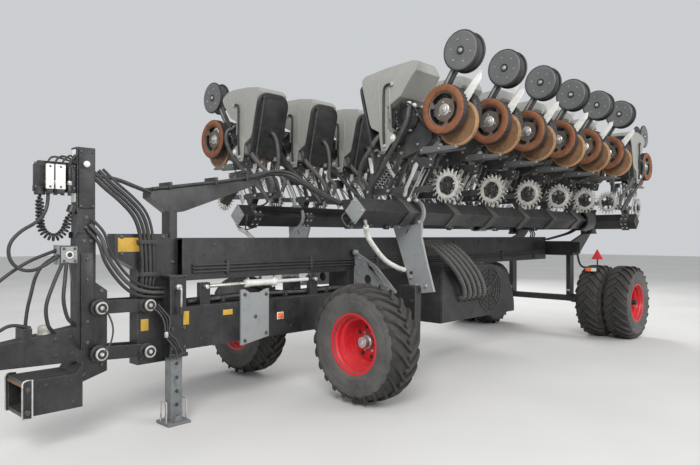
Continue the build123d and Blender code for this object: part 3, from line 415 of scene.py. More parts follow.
def facing(at, direction, roll=0.0):
    """The matrix that takes local Z to a direction at a point."""
    turn = Vector(direction).to_track_quat("Z", "Y").to_matrix().to_4x4()
    return Matrix.Translation(Vector(at)) @ turn @ Matrix.Rotation(roll, 4, "Z")


def resample(points, step):
    """Evenly spaced points along a chain of points."""
    out = [points[0]]
    carry = 0.0
    for a, b in zip(points, points[1:]):
        length = (b - a).length
        at = step - carry
        while at <= length:
            out.append(a + (b - a) * (at / length))
            at += step
        carry = length - (at - step)
    return out


def smooth_path(points, steps=8):
    """A curve through the points, for a formed pipe or a hose fixed at both ends."""
    points = [Vector(p) for p in points]
    out = []
    for i in range(len(points) - 1):
        p0 = points[i - 1] if i else points[0] * 2 - points[1]
        p1, p2 = points[i], points[i + 1]
        p3 = points[i + 2] if i + 2 < len(points) else p2 * 2 - p1
        for s in range(steps):
            t = s / steps
            out.append(0.5 * ((2 * p1) + (p2 - p0) * t + (2 * p0 - 5 * p1 + 4 * p2 - p3) * t ** 2
                + (3 * p1 - p0 - 3 * p2 + p3) * t ** 3))
    out.append(points[-1])
    return out


def make_piece(name, form, body, replaced=(), sharp=38.0):
    names = list(dict.fromkeys(form.materials))
    mesh = bpy.data.meshes.new(name)
    mesh.from_pydata(form.verts, [], form.faces)
    for material in names:
        mesh.materials.append(MATERIALS[material])
    mesh.polygons.foreach_set("material_index", [names.index(m) for m in form.materials])
    mesh.polygons.foreach_set("use_smooth", [True] * len(form.faces))
    mesh.update()
    mesh.set_sharp_from_angle(angle=math.radians(sharp))
    piece = bpy.data.objects.new(name, mesh)
    bpy.context.scene.collection.objects.link(piece)
    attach(piece, body)
    if replaced:
        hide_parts(*replaced)
    return piece


# Free hoses and the curly lead, along the route points of their solids

COUPLER_FOOT = (-3.905, -0.051, 1.64)
CORDS = {
    "loop_hose": (0.022, (
        COUPLER_FOOT, (-3.905, -0.051, 1.55), (-3.975, -0.075, 1.462), (-4.08, -0.085, 1.405),
        (-4.15, -0.088, 1.32), (-4.14, -0.085, 1.215), (-4.055, -0.07, 1.15), (-3.945, -0.05, 1.165),
        (-3.844, -0.035, 1.235),
    )),
    "front_hose": mm((22, (
        (-3844, 5, 1275), (-3960, 0, 1235), (-4080, -15, 1170), (-4200, -25, 1080),
        (-4290, -30, 985), (-4330, -30, 880), (-4290, -30, 800), (-4200, -30, 775),
        (-4115, -30, 830), (-4045, -30, 804),
    ))),
    "neck_hose": mm((22, (
        (-3844, 35, 1225), (-3910, 30, 1190), (-3960, 20, 1105), (-3985, 10, 1000),
        (-4010, 10, 900), (-4018, 10, 804),
    ))),
}
CURLY_ROUTE = mm((
    (-3945, -20, 1640), (-3945, -20, 1520), (-3937, -20, 1402), (-3855, -20, 1352),
    (-3790, -20, 1402), (-3770, -20, 1475), (-3750, -20, 1530),
))
CURLY_SIZE = 0.056
CURLY_WIRE = 0.008             # radius of the wound wire
COILS, COIL_STEPS = 23, 14


def route_curve(name, points, bevel):
    data = bpy.data.curves.new(name, "CURVE")
    data.dimensions = "3D"
    data.bevel_depth = bevel
    data.bevel_resolution = 4
    data.resolution_u = 12
    spline = data.splines.new("NURBS")
    spline.points.add(len(points) - 1)
    for point, place in zip(spline.points, points):
        point.co = (*place, 1.0)
    spline.order_u = 3
    spline.use_endpoint_u = True
    curve = bpy.data.objects.new(name, data)
    bpy.context.scene.collection.objects.link(curve)
    return curve


def curve_points(curve):
    mesh = bpy.data.meshes.new_from_object(curve)
    points = [v.co.copy() for v in mesh.vertices]
    bpy.data.meshes.remove(mesh)
    return points


def chain_length(points):
    return sum((b - a).length for a, b in zip(points, points[1:]))


def make_cords():
    for name, (diameter, points) in CORDS.items():
        curve = route_curve(f"{name}_visual", points, 0.0)
        length = chain_length(curve_points(curve))
        curve.data.bevel_depth = diameter / 2
        curve.data.materials.append(MATERIALS["hose"])
        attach(curve, "chassis")
        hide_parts(name)


def make_curly_lead():
    """A lead wound in a helix about the line of its route."""
    guide = route_curve("curly_guide", CURLY_ROUTE, 0.0)
    path = curve_points(guide)
    bpy.data.objects.remove(guide)
    length = chain_length(path)
    line = resample(path, length / (COILS * COIL_STEPS))
    helix = []
    normal = Vector((0, 1, 0))
    for i, point in enumerate(line):
        along = (line[min(i + 1, len(line) - 1)] - line[max(i - 1, 0)]).normalized()
        normal = (normal - along * normal.dot(along)).normalized()
        turn = 2 * math.pi * i / COIL_STEPS
        ease = min(1.0, min(i, len(line) - 1 - i) / (2 * COIL_STEPS))
        reach = (CURLY_SIZE / 2 - CURLY_WIRE) * ease
        helix.append(point + (normal * math.cos(turn) + along.cross(normal) * math.sin(turn)) * reach)
    form = Form()
    form.tube(helix, CURLY_WIRE, "rubber", 7)
    lead = make_piece("curly_cable_visual", form, "chassis", ["curly_cable"])


make_cords()
make_curly_lead()


# Row units: u away from the toolbar, v from the ground side to the hopper side, w along the toolbar

TOOLBAR_Z = 1.58
WING_Y = 0.8
CENTRE_X = 3.59
FAR_LEAD = 0.43
ROW_SPACING = 0.7
WING_ROW_X = [-1.2 + ROW_SPACING * i for i in range(6)]
CENTRE_ROW_Y = [-1.05 + ROW_SPACING * i for i in range(4)]


def row_matrix(origin, u_dir, v_dir, w_sign=1):
    u_dir, v_dir = Vector(u_dir), Vector(v_dir)
    w_dir = u_dir.cross(v_dir) * w_sign
    return Matrix(((u_dir.x, v_dir.x, w_dir.x, origin[0]), (u_dir.y, v_dir.y, w_dir.y, origin[1]),
        (u_dir.z, v_dir.z, w_dir.z, origin[2]), (0, 0, 0, 1)))


# The far wing's units are the near ones' mirror image
ROWS = {
    "near": [row_matrix((x, -WING_Y, TOOLBAR_Z), (0, 0, 1), (0, 1, 0)) for x in WING_ROW_X],
    "far": [row_matrix((x - FAR_LEAD, WING_Y, TOOLBAR_Z), (0, 0, 1), (0, -1, 0), -1) for x in WING_ROW_X],
    "centre": [row_matrix((CENTRE_X, y, TOOLBAR_Z), (0, 0, 1), (-1, 0, 0)) for y in CENTRE_ROW_Y],
}

GAUGE_UV = (0.82, -0.52)
CLOSE_UV = (1.29, -0.64)
OPENER_UV = (0.72, -0.58)
CLEANER_UV = (0.21, -0.48)
METER_UV = (0.81, -0.11)
HOPPER_OUTLINE = mm(((600, 20), (605, 85), (692, 98), (748, 205), (790, 226), (1190, 330), (1232, 300),
    (1275, 60), (1290, -200), (1270, -262), (1180, -280), (980, -120), (905, 30)))
HOPPER_WIDTHS = mm(((545, 185), (1130, 185), (1215, 165), (1290, 105)))


def axle(uv, side):
    """Local Z runs outward along w from a point in (u, v)."""
    return facing((*uv, 0.0), (0, 0, side))


def slotted(radius, angle):
    """Three kidney slots between the spokes of a gauge wheel."""
    middle, half_width, half_arc = 0.113, 0.018, 42.0
    turn = (angle + 20.0) % 120.0 - 60.0
    if abs(turn) <= half_arc:
        return abs(radius - middle) < half_width
    return math.hypot(radius - middle, radius * math.radians(abs(turn) - half_arc)) < half_width


def gauge_wheels():
    """Narrow rubber tyres on dished steel discs with three kidney slots, outside the opener discs."""
    form = Form()
    face = mm([(140, 132), (146, 141), (156, 147), (172, 149), (188, 147), (197, 141), (201, 134)])
    tread = mm([(201, 134), (203, 126), (203, 82), (200, 70), (190, 64), (180, 58), (160, 54), (146, 58),
        (140, 68), (138, 110), (140, 132)])
    hub = mm([(0, 139), (10, 139), (13, 136), (14, 130), (24, 130), (29, 127), (32, 118), (46, 116),
        (50, 113), (52, 104)])
    inner = mm([(34, 100), (40, 80), (46, 70), (50, 62), (30, 58)])
    radii = mm([30, 60, 90, 95, 99.5, 104, 109, 117, 122, 126.5, 131, 143])
    tooth = mm([(196, -8.5), (205, -5.5), (205, 5.5), (196, 8.5)])
    for side in (-1, 1):
        place = axle(GAUGE_UV, side) @ Matrix.Rotation(0.5 * side, 4, "Z")
        form.lathe(face, "gauge_tyre", place, 48)
        form.lathe(tread, "rubber", place, 40)
        form.lathe(hub, "bright_steel", place, 24)
        form.lathe(inner, "gauge_disc", place, 20)
        form.perforated(radii, 64, slotted, lambda r: 0.112 + 0.55 * max(0.0, r - 0.105), 0.008, "gauge_disc",
            place)
        for at in around(3, 0.062, 0.11, math.radians(40)):
            form.bolt(at, (0, 0, 1), 0.008, "bright_steel", place, False)
        for turn in turned(40):
            form.prism(tooth, 0.07, 0.133, "rubber", place @ turn, 0.0)
    return form


def closing_wheels():
    """Thin dished wheels with a narrow rubber edge and a ring of small bolts."""
    form = Form()
    edge = mm([(146, 42), (150, 38), (160, 38), (166, 43), (167, 50), (165, 56), (160, 58.5), (150, 58),
        (146, 56)])
    face = mm([(158, 50), (157, 56), (152, 60.5), (144, 62.5), (134, 62.5), (110, 60), (80, 58), (50, 57),
        (36, 57)])
    hub = mm([(36, 57), (34, 63), (31, 64), (28, 61), (20, 60)])
    nut = mm([(20, 60), (18, 67), (10, 67.5), (9, 72), (0, 72.5)])
    back = mm([(0, 34), (30, 34), (32, 40), (60, 43), (100, 47), (147, 42)])
    for side in (-1, 1):
        place = axle(CLOSE_UV, side)
        form.lathe(edge, "rubber", place, 40, closed=True)
        form.lathe(face, "closing_wheel", place, 40)
        form.lathe(hub, "rubber", place, 24)
        form.lathe(nut, "bright_steel", place, 12)
        form.lathe(back, "closing_wheel", place, 32)
        for at in around(6, 0.096, 0.0575, math.radians(15)):
            form.bolt(at, (0, 0, 1), 0.0062, "bright_steel", place, False)
    return form


def ground_discs():
    """Paired opener discs, and paired toothed rings on spokes that clear the row."""
    form = Form()
    opener = mm([(0, 26), (26, 26), (34, 20), (38, 13), (70, 14.5), (172, 14.5)])
    opener_edge = mm([(172, 14.5), (184, 12.5), (190, 10.5), (186, 8.5), (60, 8), (30, 6)])
    band = mm([(76, 11.5), (80, 18.5), (98, 20.5), (108, 19), (109, 12), (98, 10)])
    spike = mm([(100, -8), (116, -4.5), (132, 4), (143, 14.5), (144.5, 19.5), (133, 13), (118, 6), (100, 5)])

    def ring_gap(radius, angle):
        turn = angle % 60.0 - 30.0
        return 0.04 < radius < 0.078 and abs(turn) < 19.0

    for side in (-1, 1):
        form.lathe(opener, "worn_steel", axle(OPENER_UV, side), 40)
        # The edge band takes disc_edge, a lighter tone that is partly painted highlight
        form.lathe(opener_edge, "disc_edge", axle(OPENER_UV, side), 40)
        for u, v, w in around(4, 0.05, side * 0.0145, math.radians(20)):
            form.bolt((OPENER_UV[0] + u, OPENER_UV[1] + v, w), (0, 0, side), 0.006, "bright_steel")
        place = axle(CLEANER_UV, side) @ Matrix.Rotation(0.13 * side, 4, "Z")
        form.lathe(band, "cleaner", place, 48, closed=True)
        form.perforated([0.012, 0.04, 0.06, 0.079], 48, ring_gap, lambda r: 0.016, 0.005, "black_frame",
            place)
        form.lathe(mm([(0, 34), (20, 34), (24, 30), (30, 16)]), "black_frame", place, 20)
        for turn in turned(20):
            form.prism(spike, 0.0115, 0.0185, "cleaner", place @ turn, 0.0)
    return form


def half_width(u):
    for (u0, w0), (u1, w1) in zip(HOPPER_WIDTHS, HOPPER_WIDTHS[1:]):
        if u <= u1:
            return w0 + (w1 - w0) * max(0.0, (u - u0) / (u1 - u0))
    return HOPPER_WIDTHS[-1][1]


def hoppers():
    """A moulded seed hopper with rounded edges, its feet with their caps, and two ribs on each side."""
    form = Form()
    mesh = bmesh.new()
    base = mesh.faces.new([mesh.verts.new((u, v, -1.0)) for u, v in HOPPER_OUTLINE])
    top = bmesh.ops.extrude_face_region(mesh, geom=[base])
    bmesh.ops.translate(mesh, verts=[v for v in top["geom"] if isinstance(v, bmesh.types.BMVert)],
        vec=(0, 0, 2.0))
    for u in (0.9, 1.13, 1.215):
        bmesh.ops.bisect_plane(mesh, geom=mesh.verts[:] + mesh.edges[:] + mesh.faces[:], plane_co=(u, 0, 0),
            plane_no=(1, 0, 0))
    for vert in mesh.verts:
        vert.co.z *= half_width(vert.co.x)
    form.solid(mesh, "grey_hopper", None, 0.032, 5, 0.35)
    foot = mm([(529, 30), (529, 86), (600, 100), (740, 120), (780, 60), (690, -10), (662, -66), (632, -78),
        (604, -62), (590, -20)])
    for side in (-1, 1):
        mirror = mirrored(side, (0, 0, 1))
        form.prism(foot, 0.178, 0.189, "grey_hopper", mirror)
        form.lathe(mm([(0, 14), (13, 14), (16, 10), (18, 4), (27, 3), (28, 0)]), "white_plastic",
            facing((0.634, -0.045, side * 0.189), (0, 0, side)), 20)
        for v in (-0.02, 0.1):
            rib = [(0.8, v), (1.12, v + 0.02), (1.12, v + 0.034), (0.8, v + 0.014)]
            form.prism(rib, 0.18, 0.189, "grey_hopper", mirror)
    return form


def lids():
    """A black lid with a raised D, hinges, a pipe in clips and an air hose, and the hopper's two handles."""
    form = Form()
    slope = Vector((0.5, 0.1225, 0.0)).normalized()
    out = Vector((-slope.y, slope.x, 0.0))
    panel = Matrix(((slope.x, 0, out.x, 0.562), (slope.y, 0, out.y, 0.186), (0, 1, 0, 0.0), (0, 0, 0, 1)))

    def domed(foot, head, half, radius):
        """An outline with its two far corners rounded."""
        turns = [math.radians(t) for t in range(0, 91, 15)]
        low = [(head - radius + radius * math.sin(t), -half + radius - radius * math.cos(t)) for t in turns]
        high = [(head - radius + radius * math.cos(t), half - radius + radius * math.sin(t)) for t in turns]
        return [(foot, -half)] + low + high + [(foot, half)]

    shell = domed(0.004, 0.64, 0.19, 0.12)
    form.prism(shell, 0.0, 0.024, "black_plastic", panel, 0.007, 3)
    inner = [(0.05 + (x - 0.05) * 0.9, y * 0.8) for x, y in shell]
    form.prism(inner, 0.024, 0.03, "black_plastic", panel, 0.005, 2)
    form.prism(rect(0.12, -0.1, 0.3, 0.1), 0.03, 0.035, "rubber", panel, 0.004, 1)
    for y in (-0.12, 0.12):
        form.block((-0.01, y - 0.02, 0.002), (0.03, y + 0.02, 0.032), "grey_frame", panel, 0.003)
    form.tube([panel @ Vector((0.02, 0.135, 0.045)), panel @ Vector((0.6, 0.135, 0.04))], 0.011, "hose_grey",
        10)
    for x in (0.05, 0.32, 0.57):
        form.block((x, 0.12, 0.024), (x + 0.02, 0.15, 0.05), "black_plastic", panel, 0.003)
    hose = [panel @ Vector(p) for p in mm(((260, -20, 30), (250, -20, 70), (180, -30, 125), (50, -40, 170),
        (-100, -50, 190)))]
    form.hose(hose + [Vector((0.33, 0.43, -0.06)), Vector((0.22, 0.4, -0.052))], 0.021, "duct", 9,
        ribs=(0.02, 0.0035))
    form.lathe(mm([(21, 30), (30, 30), (32, 26), (32, 0)]), "black_plastic",
        panel @ facing((0.26, -0.02, 0.028), (0, 0, 1)), 20)
    for side in (-1, 1):
        handle = smooth_path([(0.56, 0.045, side * 0.196), (0.7, 0.044, side * 0.207),
            (0.92, 0.044, side * 0.207), (1.06, 0.04, side * 0.205), (1.095, 0.01, side * 0.203),
            (1.098, -0.04, side * 0.196)])
        form.tube(handle, 0.0105, "rubber", 10)
        for u, v in ((0.575, 0.045), (1.098, -0.04)):
            form.lathe(mm([(0, 22), (14, 22), (17, 18), (18, 0)]), "bright_steel",
                facing((u, v, side * 0.186), (0, 0, side)), 14)
    return form


def meters():
    """A metering housing with a ribbed round cover and a drive, on each side of the shank."""
    form = Form()
    cover = mm([(0, 120), (30, 120), (34, 117), (36, 108), (60, 106), (88, 104), (94, 110), (104, 110),
        (108, 104), (110, 92), (120, 90), (120, 78), (112, 74), (112, 44)])
    box = mm([(745, -5), (900, -5), (925, 35), (925, 110), (760, 110), (735, 60)])
    for side in (-1, 1):
        place = axle(METER_UV, side)
        form.lathe(cover, "black_plastic", place, 40)
        for turn in turned(16):
            form.block((0.036, -0.003, 0.103), (0.096, 0.003, 0.112), "black_plastic", place @ turn, 0.0)
        for at in around(5, 0.121, 0.0, 0.4):
            form.lathe(mm([(0, 100), (9, 100), (10, 96), (10, 74)]), "bright_steel",
                place @ Matrix.Translation(at), 8)
        mirror = mirrored(side, (0, 0, 1))
        form.prism(box, 0.052, 0.118, "black_plastic", mirror, 0.006)
        form.prism(mm([(600, -70), (690, -70), (710, -20), (710, 30), (600, 30)]), 0.046, 0.1,
            "black_plastic", mirror, 0.008, 3)
        for u, v in ((0.905, -0.205), (0.93, -0.15)):
            form.lathe(mm([(0, 22), (14, 22), (18, 16), (20, 0)]), "white_plastic",
                mirror @ facing((u, v, 0.09), (0, 0, 1)), 14)
    return form


LINK_BOLTS = (                 # places (u, v), the height they stand on, size and whether there is a washer
    (mm(((195, 120), (520, -30), (195, 360), (520, 225))), 0.056, 0.013, True),
    (((0.52, -0.25), (0.52, -0.43), (0.52, -0.595)), 0.054, 0.01, False),
    (((0.392, -0.33), (0.44, -0.335), (0.44, -0.14)), 0.038, 0.009, False),
    (((0.86, -0.32),), 0.044, 0.014, False), (((0.94, -0.4),), 0.044, 0.011, False),
    (((0.58, 0.0), (0.58, -0.2)), 0.044, 0.012, False), (((0.5, 0.1),), 0.044, 0.01, False),
)
LINK_PLATES = (                # outline, from and to along w, material and bevel
    (mm([(362, -105), (372, -345), (455, -365), (468, -120), (430, -95)]),
     0.03, 0.038, "row_frame", 0.003),
    (mm([(490, -225), (496, -420), (503, -600), (517, -622), (531, -600), (537, -480),
      (548, -420), (552, -225)]), 0.044, 0.054, "closing_wheel", 0.003),
    (mm([(398, -222), (425, -200), (405, -172), (330, -142), (225, -80), (148, -54),
      (130, -70), (140, -92), (205, -108), (312, -172)]), 0.056, 0.066, "cleaner", 0.003),
    (mm([(360, 300), (372, 288), (505, 318), (512, 350), (495, 352), (365, 326)]),
     0.046, 0.06, "white_plastic", 0.004),
    (mm([(385, 85), (400, 80), (450, 105), (510, 112), (512, 158), (455, 150),
      (388, 108)]), 0.06, 0.078, "white_plastic", 0.004),
    (mm([(300, 45), (330, 30), (395, 85), (380, 105)]), 0.06, 0.07, "cleaner", 0.003),
    (mm([(376, -255), (390, -275), (120, -115), (98, -128), (90, -110), (105, -92)]),
     0.04, 0.05, "grey_frame", 0.003),
    (mm([(930, -385), (960, -425), (1300, -650), (1310, -630), (1270, -600)]),
     0.017, 0.024, "grey_frame", 0.003),
    (mm([(800, -300), (850, -300), (850, -500), (830, -545), (790, -545), (775, -505)]),
     0.028, 0.044, "grey_frame", 0.004),
)
LINK_HOSES = (                 # route, radius, material and sides
    (mm([(890, -170, 118), (860, -200, 165), (760, -190, 185), (620, -100, 185),
      (480, 30, 165), (340, 170, 130), (220, 290, 90), (140, 330, 62)]),
     0.02, "hose_grey", 9),
    (mm([(705, -150, 118), (640, -120, 150), (520, 60, 150), (380, 190, 120),
      (240, 280, 85), (135, 320, 60), (90, 200, 60), (118, 30, 56)]),
     0.009, "hose", 8),
    (mm([(690, 20, -110), (600, 120, -140), (430, 190, -130), (300, 300, -90),
      (200, 350, -62)]), 0.01, "hose", 8),
    (mm([(860, -60, 122), (930, -110, 150), (900, -200, 120), (800, -250, 80),
      (700, -300, 50)]), 0.0075, "hose", 8),
    (mm([(560, -255, 50), (480, -200, 80), (380, -60, 85), (290, 40, 75),
      (225, 90, 58)]), 0.006, "hose", 6),
)


def linkage():
    """Springs, hoses, plates, levers and bolts on the row frame."""
    form = Form()
    for side in (-1, 1):
        form.spring((0.215, 0.335, 0.03 * side), (0.5, 0.0, 0.03 * side), 0.016, 0.0038, 13, "bright_steel")
        for places, w, size, washer in LINK_BOLTS:
            form.bolts([(u, v, side * w) for u, v in places], (0, 0, side), size, "bright_steel", washer)
        form.bolt((0.108, -0.112, side * 0.05), (0, 0, side), 0.016, "white_plastic")
        for u, v in mm(((85, 35), (35, 85), (-85, 35), (-35, 85))):
            form.bolt((u, v, side * 0.028), (u, v, 0), 0.012, "bright_steel", None, False)
        for outline, low, high, material, bevel in LINK_PLATES:
            form.prism(outline, low, high, material, mirrored(side, (0, 0, 1)), bevel)
    form.hose(mm([(700, 125, 130), (640, 175, 160), (560, 235, 165), (470, 330, 150), (380, 400, 115),
        (290, 430, 85), (215, 395, 62)]), 0.023, "duct", 9, ribs=(0.018, 0.003))
    for route, radius, material, sides in LINK_HOSES:
        form.hose(route, radius, material, sides, steps=6)
    return form


def paddles():
    """A white blade on a rod beside the closing wheels."""
    form = Form()
    blade = mm([(1195, -345), (1280, -362), (1315, -385), (1318, -412), (1290, -424), (1192, -362)])
    form.prism(blade, 0.058, 0.066, "white_plastic", None, 0.003)
    form.hose(mm([(960, -250, 62), (1070, -288, 62), (1210, -356, 62)]), 0.0065, "white_plastic", 8)
    return form


def seed_firmers():
    """The seed firmer's foot behind the opener discs."""
    form = Form()
    foot = mm([(770, -520), (960, -640), (1085, -762), (1088, -800), (1045, -795), (900, -690), (770, -560)])
    form.prism(foot, -0.006, 0.006, "white_plastic", None, 0.0025)
    return form


UNIT_VISUALS = (
    ("gauge_wheels", gauge_wheels(), "gauge_set", "gauge_tyre", ("gauge_wheels",)),
    ("closing_wheels", closing_wheels(), "bank", "closing_wheel", ("closing_wheels",)),
    ("ground_discs", ground_discs(), "bank", "worn_steel", ("ground_discs",)),
    ("hoppers", hoppers(), "bank", "grey_hopper", ("hoppers",)),
    ("lids", lids(), "bank", "black_plastic", ("lids_and_meters",)),
    ("meters", meters(), "bank", "black_plastic", ()),
    ("linkage", linkage(), "bank", "grey_frame", ()),
    ("firmers", seed_firmers(), "bank", "white_plastic", ("seed_firmers",)),
)
PADDLE = paddles()
for bank, matrices in ROWS.items():
    bank_form = Form()
    for matrix in matrices[1:]:
        bank_form.merge(PADDLE, matrix)
    make_piece(f"{bank}_paddles", bank_form, f"{bank}_bank")
    for label, unit, body, slot, nodes_replaced in UNIT_VISUALS:
        bank_form = Form()
        for matrix in matrices:
            bank_form.merge(unit, matrix)
        make_piece(f"{bank}_{label}_visual", bank_form, f"{bank}_{body}",
            [f"{bank}_{node}" for node in nodes_replaced])


# Wheels, about the local Z axis with the outer side up

TYRE_PROFILE = mm(((226, 126), (236, 132), (250, 137), (256, 143), (268, 146), (276, 151), (300, 155),
    (330, 157.5), (352, 158.5), (356, 156.5), (362, 158), (392, 156.5), (418, 151), (436, 141), (448, 126),
    (455, 100), (458.5, 60), (460, 0)))
TREAD_SPANS = 5                # the last spans of the profile are tread rubber
LUGS = 24
LUG_SWEEP = 1.25               # on the turn of each station
LUG_FOOT, LUG_CREST = 1.35, 0.85       # half widths of a lug at its base and top, in stations' half widths


def tyre():
    """A rounded carcass with dusty sidewalls and curved lugs that run from the middle over the shoulders."""
    form = Form()
    count = len(TYRE_PROFILE)
    for side in (-1, 1):
        points = [(r, side * z) for r, z in TYRE_PROFILE]
        if side < 0:
            points = points[::-1]
        cut = TREAD_SPANS if side < 0 else count - 1 - TREAD_SPANS
        first, second = ("tyre", "tyre_side") if side < 0 else ("tyre_side", "tyre")
        form.lathe(points[:cut + 1][::-1], first, None, 96)
        form.lathe(points[cut:][::-1], second, None, 96)
    stations = (                # along the lug: across, turn, base radius, top radius, half width
        (-0.01, -0.01, 0.455, 0.484, 0.015), (0.03, 0.04, 0.455, 0.485, 0.015),
        (0.07, 0.105, 0.452, 0.4845, 0.015), (0.105, 0.165, 0.446, 0.481, 0.0155),
        (0.13, 0.212, 0.434, 0.471, 0.016), (0.147, 0.245, 0.424, 0.456, 0.015),
        (0.1565, 0.268, 0.412, 0.44, 0.012),
    )
    for side in (-1, 1):
        for i in range(LUGS):
            start = 2 * math.pi * (i + (0.5 if side < 0 else 0.0)) / LUGS
            verts, faces = [], []
            for across, turn, base, top, half in stations:
                for radius, shift in ((base, -LUG_FOOT), (top, -LUG_CREST), (top, LUG_CREST),
                        (base, LUG_FOOT)):
                    a = start + turn * LUG_SWEEP + shift * half / radius
                    verts.append((radius * math.cos(a), radius * math.sin(a), side * across))
            for k in range(len(stations) - 1):
                for c in range(3):
                    face = (4 * k + c, 4 * k + c + 1, 4 * k + c + 5, 4 * k + c + 4)
                    faces.append(face if side < 0 else face[::-1])
            faces.append((0, 1, 2, 3)[::side])
            last = 4 * (len(stations) - 1)
            faces.append((last + 3, last + 2, last + 1, last)[::side])
            form.add(verts, faces, "tyre")
    return form


def rim():
    """A deep-dished rim: flange, stepped barrel, drilled disc and a hub with its cap."""
    form = Form()
    front = mm([(251.5, 130), (253.5, 136), (252.5, 140.5), (240, 142.5), (234.5, 141), (232, 136),
        (230.5, 114), (224, 106), (216, 100), (213, 66), (209, 58), (192, 54), (188, 46), (186, -10),
        (180, -40), (176, -50), (176, -66), (168, -69), (158, -60), (92, -54), (60, -52)])
    back = mm([(60, -72), (160, -78), (198, -70), (208, -78), (214, -100), (232, -120), (239, -128),
        (243, -138), (249, -139.5), (252, -136), (250.5, -130)])
    form.lathe(front, "red_rim", None, 72)
    form.lathe(back, "red_rim", None, 72)
    for at in around(8, 0.124, -0.0575, 0.2):
        form.lathe(mm([(0, 2), (12.5, 2), (14, 4), (17, 4), (19, 0)]), "rubber", Matrix.Translation(at), 14)
    form.bolts(around(6, 0.08, -0.053), (0, 0, 1), 0.011, "bright_steel")
    form.lathe(mm([(0, 50), (22, 50), (26, 47), (28, 38), (42, 36), (45, 32), (46, -10), (55, -14), (60, -20),
        (61, -64)]), "bright_steel", None, 36)
    form.tube(mm([(188, 40, -20), (176, 40, 4), (168, 40, 30)]), 0.004, "rubber", 8)
    return form


WING_WHEEL = (-1.7, 0.8, 0.5)
REAR_WHEELS = ((3.09, 0.86, 0.485), (3.09, 1.23, 0.485))
TYRE_FORM, RIM_FORM = tyre(), rim()
for name, side in (("near", -1), ("far", 1)):
    wing = [facing((WING_WHEEL[0], side * WING_WHEEL[1], WING_WHEEL[2]), (-1, 0, 0))]
    rear = [facing((x, side * y, z), (0, side, 0)) for x, y, z in REAR_WHEELS]
    for place, hubs in (("wing", wing), ("rear", rear)):
        body = f"{name}_wing_wheel" if place == "wing" else f"{name}_rear_wheels"
        for label, form, slot in (("tyre", TYRE_FORM, "tyre"), ("rim", RIM_FORM, "red_rim")):
            placed = Form()
            for hub in hubs:
                placed.merge(form, hub)
            make_piece(f"{name}_{place}_{label}_visual", placed, body, [f"{name}_{place}_{label}"])


# Frame details

JACK_X, JACK_Y = -3.05, -0.125
JACK_FRONT_Y = -0.19          # the housing's near face
MAIN_BEAM_Y, LOWER_BEAM_Y = 0.13, 0.17       # half widths
RAM_Y, RAM_Z = -0.1, 0.985
REST_X = -1.115                # front face of the plates that the wings rest against
BRACKET_X = -1.06             # front face of the wheel brackets
LEG_X = -1.15                 # front face of the wheel legs
END_PLATE_X = -1.812
HINGE_X, HINGE_Y = 3.42, 0.63
LAMP_X = 2.785
FAN_X, FAN_Y, FAN_Z = 0.86, 0.45, 0.745


def hitch_details():
    """Pins, couplers, clamp, plates and formed hoses of the hitch head."""
    form = Form()
    pins = mm(((-3590, 579), (-3240, 550), (-3590, 889), (-3240, 880)))
    for x, z in pins:
        for side in (-1, 1):
            place = facing((x, side * 0.1355, z), (0, side, 0))
            form.lathe([(0, 0.006), (0.03, 0.006), (0.032, 0.01)], "black_frame", place, 32)
            form.lathe(mm([(32, 10), (39, 10), (43, 6), (44, 0)]), "bright_steel", place, 32)
            form.lathe(mm([(44, 0), (43, -40), (50, -44), (56, -46), (57, -50)]), "black_frame", place, 32)
            form.lathe(mm([(0, 12.5), (12, 12.5), (14, 8), (14, 0)]), "bright_steel", place, 16)
    for side in (-1, 1):
        y = side * 0.142
        form.hose([(-3.59, y, 0.889), (-3.545, y * 1.03, 0.835), (-3.52, y * 1.06, 0.745),
            (-3.535, y * 1.03, 0.65), (-3.59, y, 0.579)], 0.006, "hose_grey", 8)
        form.bolts([(x, side * 0.06, z) for x, z in mm(((-3680, 450), (-3560, 500), (-3680, 1020),
            (-3560, 1000), (-3680, 1340), (-3630, 1340), (-3270, 500), (-3020, 500), (-3270, 1180),
            (-3020, 1180), (-3420, 1250), (-3420, 1370), (-3100, 1370)))], (0, side, 0), 0.013)
        form.plate(rect(-3.445, 1.262, -3.225, 1.362), side * 0.06, side * 0.062, "yellow_plate", 0.001)
        form.plate(rect(-3.275, 0.69, -3.215, 0.775), side * 0.06, side * 0.062, "yellow_plate", 0.001)
        form.plate(rect(-3.7, 0.62, -3.62, 1.26), side * 0.06, side * 0.072, "black_frame")
        form.bolts([(-3.66, side * 0.072, z) for z in (0.66, 0.8, 1.08, 1.22)], (0, side, 0), 0.011)
    form.block((-3.835, -0.045, 1.186), (-3.8, 0.05, 1.314), "grey_frame")
    form.plate(rect(-3.828, 1.196, -3.724, 1.304), -0.06, -0.066, "grey_frame", 0.006)
    form.lathe(mm([(16, 6), (26, 6), (29, 2), (29, -4)]), "bright_steel",
        facing((-3.775, -0.066, 1.25), (0, -1, 0)), 24)
    form.lathe([(0, 0.0015), (0.017, 0.0015)], "rubber", facing((-3.775, -0.066, 1.25), (0, -1, 0)), 24)
    form.bolts(mm([(-3810, -66, 1210), (-3740, -66, 1210), (-3810, -66, 1290), (-3740, -66, 1290)]),
        (0, -1, 0), 0.008)
    return form


